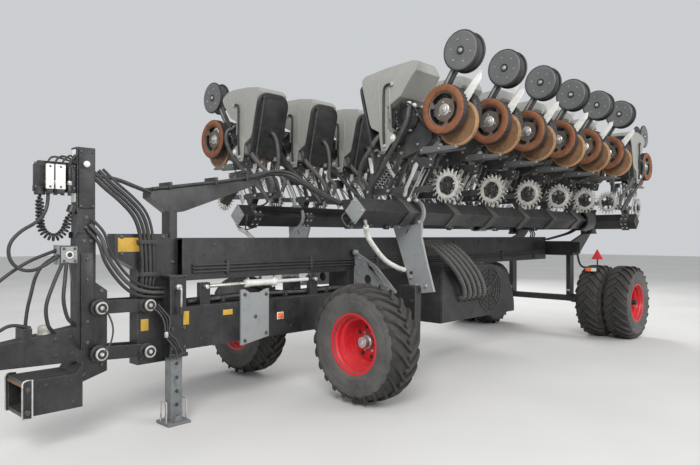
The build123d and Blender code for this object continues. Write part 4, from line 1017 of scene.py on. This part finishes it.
def mast_details():
    """A white strip, a box with a cap, bolts and gussets on the hose mast."""
    form = Form()
    form.block((-3.728, -0.03, 1.6), (-3.72, 0.03, 1.955), "white_plastic")
    form.plate(rect(-3.712, 1.56, -3.608, 1.955), -0.05, -0.062, "black_plastic", 0.006)
    form.bolts([(x, -0.062, z) for x in (-3.7, -3.62) for z in (1.575, 1.94)], (0, -1, 0), 0.007)
    form.lathe(mm([(0, 46), (12, 46), (20, 40), (22, 30), (14, 22), (10, 0)]), "white_plastic",
        facing((-3.675, -0.062, 1.853), (0, -1, 0)), 20)
    form.bolts([(-3.66, -0.05, z) for z in (1.43, 1.5)], (0, -1, 0), 0.012)
    for side in (-1, 1):
        form.plate(mm([(-3735, 1360), (-3590, 1360), (-3590, 1430), (-3735, 1400)]), side * 0.05,
            side * 0.058, "black_frame")
    return form


def couplers():
    """A rack of quick couplers with collars, levers and caps, and the lead's socket below it."""
    form = Form()
    form.plate(mm([(-3990, 1672), (-3720, 1660), (-3720, 1860), (-3960, 1860), (-3990, 1830)]), -0.035,
        -0.027, "black_frame", 0.004)
    form.plate(rect(-3.985, 1.66, -3.72, 1.7), -0.027, -0.005, "black_frame", 0.004)
    body = mm([(0, 0), (12, 0), (13, 22), (15.5, 24), (15.5, 60), (13.5, 64), (13.5, 100), (15.8, 104),
        (15.8, 150), (14, 156), (11, 188), (0, 189)])
    for i in range(4):
        x = -3.905 + 0.045 * i
        place = facing((x, -0.05, 1.64), (0, 0, 1))
        form.lathe(body, "black_plastic", place, 20)
        form.lathe(mm([(16, 68), (17.5, 72), (17.5, 92), (16, 96)]), "bright_steel", place, 20)
        top = Vector((x, -0.05, 1.826))
        form.hose([top, top + Vector((0.004, -0.006, 0.04)), top + Vector((0.045, -0.004, 0.062 + 0.008 * i)),
            Vector((-3.74, -0.046, 1.862 + 0.014 * i)), Vector((-3.7, -0.044, 1.85 + 0.014 * i))], 0.0065,
            "hose", 8)
    for x0, x1 in ((-3.927, -3.878), (-3.868, -3.806)):
        form.block((x0, -0.082, 1.677), (x1, -0.068, 1.838), "white_plastic", None, 0.004)
        form.block((x0 + 0.006, -0.08, 1.646), (x1 - 0.006, -0.062, 1.68), "black_plastic")
        form.bolts([((x0 + x1) / 2, -0.082, z) for z in (1.692, 1.822)], (0, -1, 0), 0.006)
    form.lathe(mm([(0, 0), (30, 0), (34, 4), (34, 16), (28, 22), (28, 50), (0, 50)]), "black_plastic",
        facing((-3.945, -0.02, 1.64), (0, 0, 1)), 28)
    form.bolts([(x, -0.035, z) for x in (-3.975, -3.735) for z in (1.69, 1.84)], (0, -1, 0), 0.008)
    return form


def formed_hoses():
    """Hoses that are clamped at both ends and along the frame."""
    form = Form()
    bundle = mm(((-3610, -30, 1800), (-3520, -60, 1705), (-3420, -85, 1615), (-3330, -95, 1515),
        (-3285, -98, 1400), (-3268, -100, 1250), (-3262, -98, 1080), (-3262, -78, 960)))
    for i, radius in enumerate((0.014, 0.012, 0.014, 0.01)):
        form.hose(shifted(bundle, (0.03 * i - 0.02, 0, 0.012 * i)), radius, "hose", 10)
    lower = mm(((-3660, -62, 1420), (-3600, -100, 1330), (-3556, -110, 1197), (-3470, -112, 1070),
        (-3378, -108, 985), (-3280, -98, 945), (-3170, -90, 930), (-3060, -68, 925)))
    for i, radius in enumerate((0.012, 0.014, 0.01)):
        form.hose(shifted(lower, (0.018 * i, -0.004 * i, 0.032 * i)), radius,
            ("hose", "hose_grey", "hose")[i], 10)
    for x, z in ((-3.27, 1.33), (-3.262, 1.1)):
        form.block((x - 0.04, -0.118, z - 0.015), (x + 0.09, -0.058, z + 0.015), "black_plastic")
    drops = mm((((-3790, -55, 1200), (-3815, -95, 1090), (-3830, -112, 960), (-3800, -104, 840),
        (-3735, -66, 785)), ((-3815, -50, 1195), (-3885, -94, 1070), (-3935, -110, 930), (-3920, -98, 810),
        (-3865, -52, 745)), ((-3770, -55, 1195), (-3770, -100, 1060), (-3752, -116, 900), (-3735, -104, 720),
        (-3710, -60, 620))))
    for drop, radius in zip(drops, (0.012, 0.012, 0.006)):
        form.hose(drop, radius, "hose", 10)
    tray = mm(((-3190, 0, 1700), (-2900, 0, 1745), (-2550, 0, 1800), (-2250, 0, 1860), (-2120, -40, 1905),
        (-1980, -120, 1900), (-1880, -260, 1820), (-1820, -420, 1720), (-1790, -600, 1640)))
    for i, (radius, across) in enumerate(mm(((20, -36), (16, 4), (18, 38), (13, -62)))):
        shift = Vector((0.0, across, 0.006 * i))
        form.hose([Vector(p) + shift * (1.0 if k < 6 else 0.5) for k, p in enumerate(tray)], radius, "hose",
            12)
    far = mm(((-2250, 40, 1862), (-2200, 120, 1930), (-2170, 260, 1920), (-2160, 420, 1800),
        (-2140, 600, 1690)))
    for i in range(3):
        form.hose(shifted(far, (0.03 * i, 0, -0.012 * i)), 0.014, "hose", 10)
    front = mm(((-3190, -20, 1690), (-3300, -20, 1725), (-3440, -10, 1770), (-3600, -10, 1790)))
    for i in range(4):
        form.hose(shifted(front, (0, 0.024 * i - 0.03, 0.004 * i)), 0.013, "hose", 10)
    for x in (-3.05, -2.65, -2.35):
        z = 1.697 + (x + 3.2) * (0.154 / 0.97)
        form.block((x - 0.012, -0.085, z), (x + 0.012, 0.075, z + 0.055), "black_plastic")
    return form


def beam_details():
    """Bolts, a reflector, blank plates and lines along both beams."""
    form = Form()
    form.plate(rect(-2.1, 0.675, -2.045, 0.722), -0.17, -0.176, "reflector", 0.002)
    form.plate(rect(-2.108, 0.668, -2.037, 0.729), -0.17, -0.172, "white_plastic", 0.001)
    form.plate(rect(-2.65, 0.755, -2.56, 0.797), -0.17, -0.172, "yellow_plate", 0.001)
    form.plate(rect(-3.01, 0.72, -2.962, 0.82), -0.19, -0.192, "yellow_plate", 0.001)
    form.bolts([(x, -0.19, z) for x, z in mm(((-2455, 905), (-2240, 895), (-2240, 575), (-2455, 535),
        (-2350, 720)))], (0, -1, 0), 0.013)
    for side in (-1, 1):
        for x in [-2.7 + 0.55 * i for i in range(11)]:
            form.bolt((x, side * MAIN_BEAM_Y, 1.305), (0, side, 0), 0.011, "black_frame")
        for x in (-2.85, -2.78, -1.95, -1.3, -1.1):
            form.bolt((x, side * LOWER_BEAM_Y, 0.6), (0, side, 0), 0.012, "black_frame")
        line = [(-2.9, side * 0.14, 1.1), (-1.6, side * 0.14, 1.1), (0.2, side * 0.14, 1.09),
            (2.2, side * 0.14, 1.1), (2.95, side * 0.14, 1.11)]
        for i in range(3):
            form.tube(shifted(line, (0, 0, 0.026 * i)), 0.009, "hose", 8)
        for x in (-2.6, -1.7, -0.8, 1.7, 2.6):
            form.block((x, side * MAIN_BEAM_Y - 0.02, 1.075), (x + 0.03, side * MAIN_BEAM_Y + 0.02, 1.18),
                "black_plastic")
    for i, (y, z) in enumerate(mm(((-60, 872), (-20, 868), (30, 872), (75, 868)))):
        form.hose([(-2.9, y, z), (-2.2, y + 0.01, z + 0.012), (-1.7, y, z), (-1.22, y - 0.01, z + 0.01)],
            0.016, ("hose_grey", "duct", "hose", "hose_grey")[i], 10)
    for x in (-2.6, -1.95, -1.45):
        form.block((x, -0.085, 0.845), (x + 0.035, 0.1, 0.895), "black_plastic")
    return form


def ram_details():
    """Rod end, barrel with glands and hose ports, and the rear bar of the lift ram."""
    form = Form()
    barrel = facing((-2.39, RAM_Y, RAM_Z), (1, 0, 0))
    form.lathe(mm([(14.5, -348), (14.5, 0), (26, 0), (34, 6), (34, 40), (29, 44), (29, 280), (34, 284),
        (36, 290), (36, 322), (30, 330), (16, 332), (16, 695)]), "white_plastic", barrel, 28)
    form.lathe([(0.0142, -0.348), (0.0148, -0.348), (0.0148, -0.004)], "bright_steel", barrel, 20)
    for x in (-2.36, -2.08):
        form.lathe(mm([(0, 30), (9, 30), (12, 22), (12, 0)]), "bright_steel",
            facing((x, RAM_Y, 1.012), (0, 0, 1)), 12)
    form.hose(mm([(-2360, -100, 1040), (-2300, -105, 1058), (-2150, -108, 1052), (-2080, -100, 1040)]), 0.007,
        "hose_grey", 8)
    for x in (-2.78, -1.64):
        form.lathe(mm([(0, 62), (14, 62), (17, 58), (18, -58), (14, -62), (0, -62)]), "bright_steel",
            facing((x, RAM_Y, RAM_Z), (0, 1, 0)), 20)
    return form


def jack_details():
    """Handle loops, pin holes drawn as thin black discs of painted shade, and foot gussets on the jack leg.
    """
    form = Form()
    for side in (-1, 1):
        x = JACK_X + side * 0.08
        loop = [(x, -0.165, 0.018), (x, -0.165, 0.15), (x, -0.155, 0.168), (x, -0.095, 0.168),
            (x, -0.085, 0.15), (x, -0.085, 0.018)]
        form.hose(loop, 0.006, "bright_steel", 8, steps=4)
    # Painted shade: each pin hole is a thin black disc on the leg's face, in place of the shade inside the
    # hole
    for z in (0.14, 0.24, 0.34, 0.44):
        for side in (-1, 1):
            form.lathe([(0, 0.0003), (0.013, 0.0003), (0.0145, 0.0)], "rubber",
                facing((JACK_X, JACK_Y + side * 0.0445, z), (0, side, 0)), 16)
    for side in (-1, 1):
        form.plate(mm([(-3085, 20), (-3015, 20), (-3030, 60), (-3070, 60)]), JACK_Y + side * 0.045,
            JACK_Y + side * 0.075, "jack", 0.002)
    return form


def jack_housing_details():
    """The crank, the cap and the foot of the jack's housing, and leads beside it."""
    form = Form()
    form.lathe(mm([(0, 24), (18, 24), (22, 20), (24, 0)]), "bright_steel",
        facing((JACK_X, JACK_FRONT_Y, 1.0), (0, -1, 0)), 20)
    form.hose(mm([(-3050, -212, 1000), (-3050, -232, 985), (-3052, -236, 900), (-3052, -236, 860)]), 0.008,
        "bright_steel", 8)
    form.lathe(mm([(0, 60), (14, 58), (16, 50), (16, 4), (10, 0)]), "rubber",
        facing((-3.052, -0.236, 0.8), (0, 0, 1)), 14)
    form.block((-3.125, -0.2, 0.49), (-2.975, -0.19, 0.52), "black_frame")
    for x0, x1, y0, y1 in mm(((-3122, -3100, -197, -53), (-3000, -2978, -197, -53),
            (-3100, -3000, -197, -175), (-3100, -3000, -75, -53))):
        form.block((x0, y0, 1.068), (x1, y1, 1.086), "black_frame")
    form.bolts([(x, JACK_FRONT_Y, z) for x in (-3.1, -3.0) for z in (0.56, 0.7)], (0, -1, 0), 0.011)
    lead = mm([(-3224, -140, 860), (-3205, -200, 825), (-3173, -212, 756), (-3163, -214, 661),
        (-3120, -214, 600), (-3086, -212, 557), (-3068, -205, 505), (-3066, -192, 480)])
    for i in range(3):
        form.hose([Vector(p) + Vector((0.014 * i * (1 if k % 2 else 1.5), 0, 0.01 * i))
            for k, p in enumerate(lead)], 0.0055, ("hose_grey", "hose", "hose_grey")[i], 8)
    form.lathe(mm([(0, 40), (14, 40), (16, 34), (16, 8), (12, 0), (0, 0)]), "bright_steel",
        facing((-3.16, -0.216, 0.69), (0, 0, -1)), 14)
    return form


def hitch_box_details():
    """Cheeks whose bright rim is a painted highlight, bolts and a cross pin on the box under the neck."""
    form = Form()
    for side in (-1, 1):
        y = side * 0.145
        cheek = mm([(-4088, 258), (-4082, 252), (-4030, 252), (-4030, 488), (-4066, 488), (-4080, 482),
            (-4088, 468)])
        form.plate(cheek, y, y + side * 0.012, "black_frame")
        # Painted highlight: a light grey tube round the outline of each black cheek stands in for light on
        # its edges
        form.tube([(x, y + side * 0.01, z) for x, z in cheek], 0.0055, "cleaner", 8, closed=True)
        form.bolts([(-4.058, y + side * 0.012, z) for z in (0.29, 0.43)], (0, side, 0), 0.014)
        form.bolts([(x, y, z) for x, z in mm(((-3950, 300), (-3780, 300), (-3950, 440), (-3800, 440)))],
            (0, side, 0), 0.01, "black_frame")
    form.lathe(rect(0, 0.142, 0.017, -0.142), "worn_steel", facing((-4.066, 0.0, 0.452), (0, 1, 0)), 20)
    return form


def neck_details():
    """The eye's collar, bolts and the domed cover on the drawbar neck."""
    form = Form()
    form.lathe(mm([(28.5, 2), (40, 2), (46, 0), (50, -3)]), "bright_steel",
        facing((-4.34, 0.0, 0.645), (0, 0, 1)), 32)
    for side in (-1, 1):
        form.bolts([(x, side * 0.06, z) for x, z in mm(((-4220, 610), (-4220, 660), (-3860, 600),
            (-3760, 600), (-3860, 700), (-3760, 710)))], (0, side, 0), 0.013, "black_frame")
    form.lathe(mm([(0, 52), (30, 52), (36, 46), (40, 30), (40, 12), (50, 8), (52, 0)]), "cleaner",
        facing((-3.905, 0.0, 0.744), (-0.14, 0, 1)), 28)
    return form


def bracket_details(side):
    """A bent pipe, a slot drawn as a thin black sheet of painted shade, a foot plate and bolts on a wing's
    wheel bracket and leg.
    """
    form = Form()
    mirror = mirrored(side, (0, 1, 0))
    pipe = mm([(-1750, 862, 1452), (-1690, 815, 1405), (-1600, 780, 1324), (-1350, 712, 1172),
        (-1160, 705, 1092), (-1068, 720, 1066)])
    form.hose(pipe, 0.022, "white_plastic", 14, mirror)
    form.hose([(-1.752, 0.863, 1.454), (-1.775, 0.875, 1.5)], 0.014, "bright_steel", 10, mirror)
    for y, z in mm(((650, 1460), (870, 1500), (780, 1000), (950, 930), (840, 930))):
        form.bolt((BRACKET_X, y, z), (-1, 0, 0), 0.016, "bright_steel", mirror)
    # Painted shade: the slot is a thin black sheet on the bracket's face, in place of the shade inside it
    form.prism(mm([(735, 1395), (760, 1435), (752, 1442), (724, 1400)]), 0.0, 0.002, "rubber",
        mirror @ front_at(BRACKET_X), 0.0005, 1)
    form.prism(mm([(715, 500), (885, 500), (860, 640), (740, 640)]), 0.09, 0.102, "black_frame",
        mirror @ front_at(BRACKET_X), 0.003)
    for y, z in mm(((740, 800), (860, 800), (740, 1050), (860, 1050))):
        form.bolt((LEG_X, y, z), (-1, 0, 0), 0.014, "black_frame", mirror)
    return form


def wheel_leg(side):
    """A boxed leg under the bracket's foot, with the hub boss and the stub axle."""
    form = Form()
    mirror = mirrored(side, (0, 1, 0))
    across = Matrix(((0, 0, 1, 0), (1, 0, 0, 0), (0, 1, 0, 0), (0, 0, 0, 1)))
    outline = mm([(710, 430), (890, 430), (902, 900), (892, 935), (716, 935), (700, 900)])
    form.prism(outline, LEG_X, BRACKET_X - 0.0005, "black_frame", mirror @ across, 0.008)
    form.lathe([(0.04, 0.37), (0.052, 0.366), (0.054, 0.0)], "black_frame",
        facing((LEG_X, side * WING_WHEEL[1], WING_WHEEL[2]), (-1, 0, 0)), 28)
    return form


def rest_details():
    """Bolts, bushes and a lever on the plates that the folded wings rest against."""
    form = Form()
    for side in (-1, 1):
        mirror = mirrored(side, (0, 1, 0))
        for y, z, size in mm(((200, 1160, 12), (200, 1020, 9), (260, 1100, 9), (330, 1090, 16),
                (420, 990, 10), (500, 930, 10), (170, 930, 12))):
            form.bolt((REST_X, y, z), (-1, 0, 0), size, "bright_steel", mirror)
        form.lathe(mm([(0, 40), (14, 40), (18, 34), (26, 30), (28, 0)]), "grey_frame",
            mirror @ facing((REST_X, 0.165, 1.215), (-1, 0, 0)), 20)
        form.lathe([(0, 0.0), (0.05, 0.0), (0.054, -0.004)], "rubber",
            facing((REST_X + 0.0165, side * 0.306, 0.96), (-1, 0, 0)), 24)
        form.lathe(mm([(11, 1), (12, 5), (18, 5), (20, 0)]), "bright_steel",
            facing((REST_X, side * 0.435, 1.04), (-1, 0, 0)), 20)
        form.lathe([(0, 0.001), (0.011, 0.001)], "rubber", facing((REST_X, side * 0.435, 1.04), (-1, 0, 0)),
            16)
        lever = mm([(330, 1105), (345, 1080), (470, 1000), (560, 905), (545, 895), (440, 975)])
        form.prism(lever, 0.006, 0.018, "grey_frame", mirror @ front_at(REST_X), 0.003)
    return form


def toolbar_details(side):
    """End plates set on the corner, hose guides and bolts of a wing toolbar."""
    form = Form()
    x, y, z = END_PLATE_X, side * WING_Y, TOOLBAR_Z
    half = 0.113
    diamond = [(y - half, z), (y, z - half), (y + half, z), (y, z + half)]
    form.prism(diamond, -0.002, 0.006, "grey_frame", front_at(x), 0.004)
    for dy, dz in mm(((0, 80), (0, -80), (80, 0), (-80, 0))):
        form.bolt((x - 0.006, y + dy, z + dz), (-1, 0, 0), 0.009, "bright_steel")
    loop = [(x + 0.03, y - 0.115 * side, z), (x + 0.0, y - 0.15 * side, z - 0.05),
        (x + 0.02, y - 0.1 * side, z - 0.13), (x + 0.1, y - 0.02 * side, z - 0.14),
        (x + 0.22, y - 0.01 * side, z - 0.112)]
    form.hose(loop, 0.007, "hose_grey")
    run = [(x + 0.15 + 0.35 * i, y - side * 0.085, z + 0.055) for i in range(12)]
    for k in range(3):
        form.tube(shifted(run, (0, -side * 0.016 * k, 0.018 * k)), 0.009, "hose", 8)
    return form


def rear_details():
    """Lamp brackets, lamps, the warning triangle and braces at the rear frame and axle."""
    form = Form()
    for side in (-1, 1):
        mirror = mirrored(side, (0, 1, 0))
        form.block((2.985, 0.535, 1.13), (3.01, 0.64, 1.29), "black_frame", mirror)
        arm = mm([(2985, 600, 1160), (2900, 640, 1120), (2800, 720, 985), (2785, 800, 945), (2785, 985, 945)])
        form.hose(arm, 0.014, "black_frame", 10, mirror, steps=5)
        form.block((2.762, 0.8, 0.89), (2.798, 0.962, 0.952), "black_plastic", mirror)
        form.block((2.754, 0.808, 0.898), (2.764, 0.88, 0.944), "reflector", mirror)
        form.block((2.754, 0.884, 0.898), (2.764, 0.954, 0.944), "white_plastic", mirror)
        form.prism([(0.88, 1.06), (1.04, 1.06), (0.96, 1.2)], 0.0, 0.004, "red_reflector",
            mirror @ front_at(LAMP_X), 0.001)
        form.block((2.785, 0.95, 0.945), (2.792, 0.97, 1.12), "black_frame", mirror)
        for y in (0.44, 0.46):
            form.bolt((3.03, y, 0.6), (-1, 0, 0), 0.014, "bright_steel", mirror)
        for z in (1.46, 1.7):
            form.bolt((HINGE_X, 0.535, z), (0, 1, 0), 0.016, "bright_steel", mirror)
        for dx in (-0.045, 0.045):
            form.bolt((HINGE_X + dx, HINGE_Y, 1.755), (0, 0, 1), 0.013, "bright_steel", mirror)
        form.lathe(mm([(0, 16), (20, 16), (24, 10), (26, 0)]), "bright_steel",
            mirror @ facing((HINGE_X, HINGE_Y, 1.7545), (0, 0, 1)), 20)
        for i in range(3):
            form.hose([(2.98, side * (0.1 + 0.03 * i), 1.32), (3.2, side * (0.16 + 0.03 * i), 1.36),
                (3.42, side * (0.26 + 0.03 * i), 1.42), (3.5, side * (0.36 + 0.03 * i), 1.5)],
                0.01, "hose", 8)
    return form


def duct_hoses():
    """Ribbed air hoses that leave the beam and curve down into the fan's housing."""
    form = Form()
    collar = mm([(30, 18), (36, 18), (40, 12), (40, 0)])
    route = mm(((-330, 130, 1290), (-330, 230, 1300), (-328, 360, 1298), (-285, 465, 1255), (-175, 515, 1165),
        (-40, 532, 1060), (85, 535, 950), (180, 532, 835), (222, 522, 740), (232, 495, 700), (235, 450, 690)))
    for side in (-1, 1):
        for i in range(5):
            points = [Vector((x + 0.1 * i, side * y, z)) for x, y, z in route]
            form.hose(points, 0.03, "duct", 12, ribs=(0.026, 0.006))
            for end in (points[0], points[-1]):
                form.lathe(collar, "black_plastic", facing(end, (0, side, 0)), 20)
    return form


def fan_details():
    """The guard over the fan's inlet, a pipe and three straps on its housing."""
    form = Form()
    for side in (-1, 1):
        y = side * FAN_Y
        form.lathe(mm([(0, 10), (40, 10), (50, 6), (55, 0)]), "black_frame",
            facing((FAN_X, y, FAN_Z), (0, side, 0)), 28)
        for radius in (0.1, 0.15, 0.2, 0.25):
            ring = [(FAN_X + u, y + side * 0.006, FAN_Z + v) for u, v, _ in around(40, radius)]
            form.tube(ring, 0.005, "black_frame", 6, closed=True)
        for i in range(8):
            a = 2 * math.pi * i / 8
            form.tube([(FAN_X + r * math.cos(a), y + side * 0.006,
                FAN_Z + r * math.sin(a)) for r in (0.04, 0.255)], 0.005, "black_frame", 6)
        form.tube([(-0.1, y, 0.47), (-0.1, y, 1.02), (0.88, y, 1.02)], 0.012, "black_plastic", 8)
    for x in (-0.05, 0.4, 0.86):
        form.block((x, -0.455, 1.036), (x + 0.05, 0.455, 1.046), "black_frame")
    return form


for name, build, body, slot, *node in (
    ("hitch_details", hitch_details, "chassis", "grey_frame"),
    ("mast_details", mast_details, "chassis", "black_frame"),
    ("couplers_visual", couplers, "chassis", "white_plastic", "coupler_rack"),
    ("formed_hoses", formed_hoses, "chassis", "hose"),
    ("beam_details", beam_details, "chassis", "black_frame"),
    ("ram_visual", ram_details, "chassis", "white_plastic", "lift_ram"),
    ("jack_details", jack_details, "jack", "grey_frame"),
    ("jack_housing_details", jack_housing_details, "chassis", "black_frame"),
    ("hitch_box_details", hitch_box_details, "chassis", "grey_frame"),
    ("neck_details", neck_details, "chassis", "black_frame"),
    ("rest_details", rest_details, "chassis", "grey_frame"),
    ("rear_details", rear_details, "chassis", "black_frame"),
    ("air_ducts_visual", duct_hoses, "chassis", "hose", "air_ducts"),
    ("fan_details", fan_details, "chassis", "black_plastic"),
):
    make_piece(name, build(), body, node)
for name, side in (("near", -1), ("far", 1)):
    make_piece(f"{name}_leg_visual", wheel_leg(side), f"{name}_fold", [f"{name}_wheel_leg"])
    make_piece(f"{name}_bracket_details", bracket_details(side), f"{name}_fold")
    make_piece(f"{name}_toolbar_details", toolbar_details(side), f"{name}_bank")


# Stage and light

FLOOR_HALF = 40.0
FLOOR_TONES = (0.6, 0.59, 0.57, 1), (0.66, 0.65, 0.63, 1)
WORLD_COLOR = (0.8, 0.82, 0.85, 1)
WORLD_STRENGTH = 0.75
LAMPS = (                      # name, place, aim, size and power
    ("key", (-9.0, -7.0, 7.5), (0, 0, 1.2), 5.0, 1100.0),
    ("fill", (3.0, -10.0, 5.0), (0.5, 0, 1.2), 6.0, 500.0),
    ("back", (8.0, 6.0, 7.0), (0, 0, 1.5), 5.0, 700.0),
)


def make_stage():
    floor_mesh = bpy.data.meshes.new("floor")
    corners = [(x, y, 0) for x, y in rect(-FLOOR_HALF, -FLOOR_HALF, FLOOR_HALF, FLOOR_HALF)]
    floor_mesh.from_pydata(corners, [], [(0, 1, 2, 3)])
    floor = bpy.data.objects.new("floor", floor_mesh)
    bpy.context.scene.collection.objects.link(floor)
    material, nodes, links, shader = new_material("floor")
    at = nodes.new("ShaderNodeTexCoord").outputs["Object"]
    tone = ramp(nodes, links, noise(nodes, links, 0.6, 4.0, 0.5, at), 0.3, 0.7, *FLOOR_TONES)
    links.new(tone, shader.inputs["Base Color"])
    shader.inputs["Roughness"].default_value = 0.9
    floor_mesh.materials.append(material)

    world = bpy.data.worlds.new("studio")
    world.use_nodes = True
    background = world.node_tree.nodes["Background"]
    background.inputs["Color"].default_value = WORLD_COLOR
    background.inputs["Strength"].default_value = WORLD_STRENGTH
    bpy.context.scene.world = world
    for name, at, aim, size, power in LAMPS:
        data = bpy.data.lights.new(name, "AREA")
        data.size = size
        data.energy = power
        lamp = bpy.data.objects.new(name, data)
        lamp.location = at
        lamp.rotation_euler = (Vector(aim) - Vector(at)).to_track_quat("-Z", "Y").to_euler()
        bpy.context.scene.collection.objects.link(lamp)
    bpy.context.scene.view_settings.view_transform = "Standard"


make_stage()
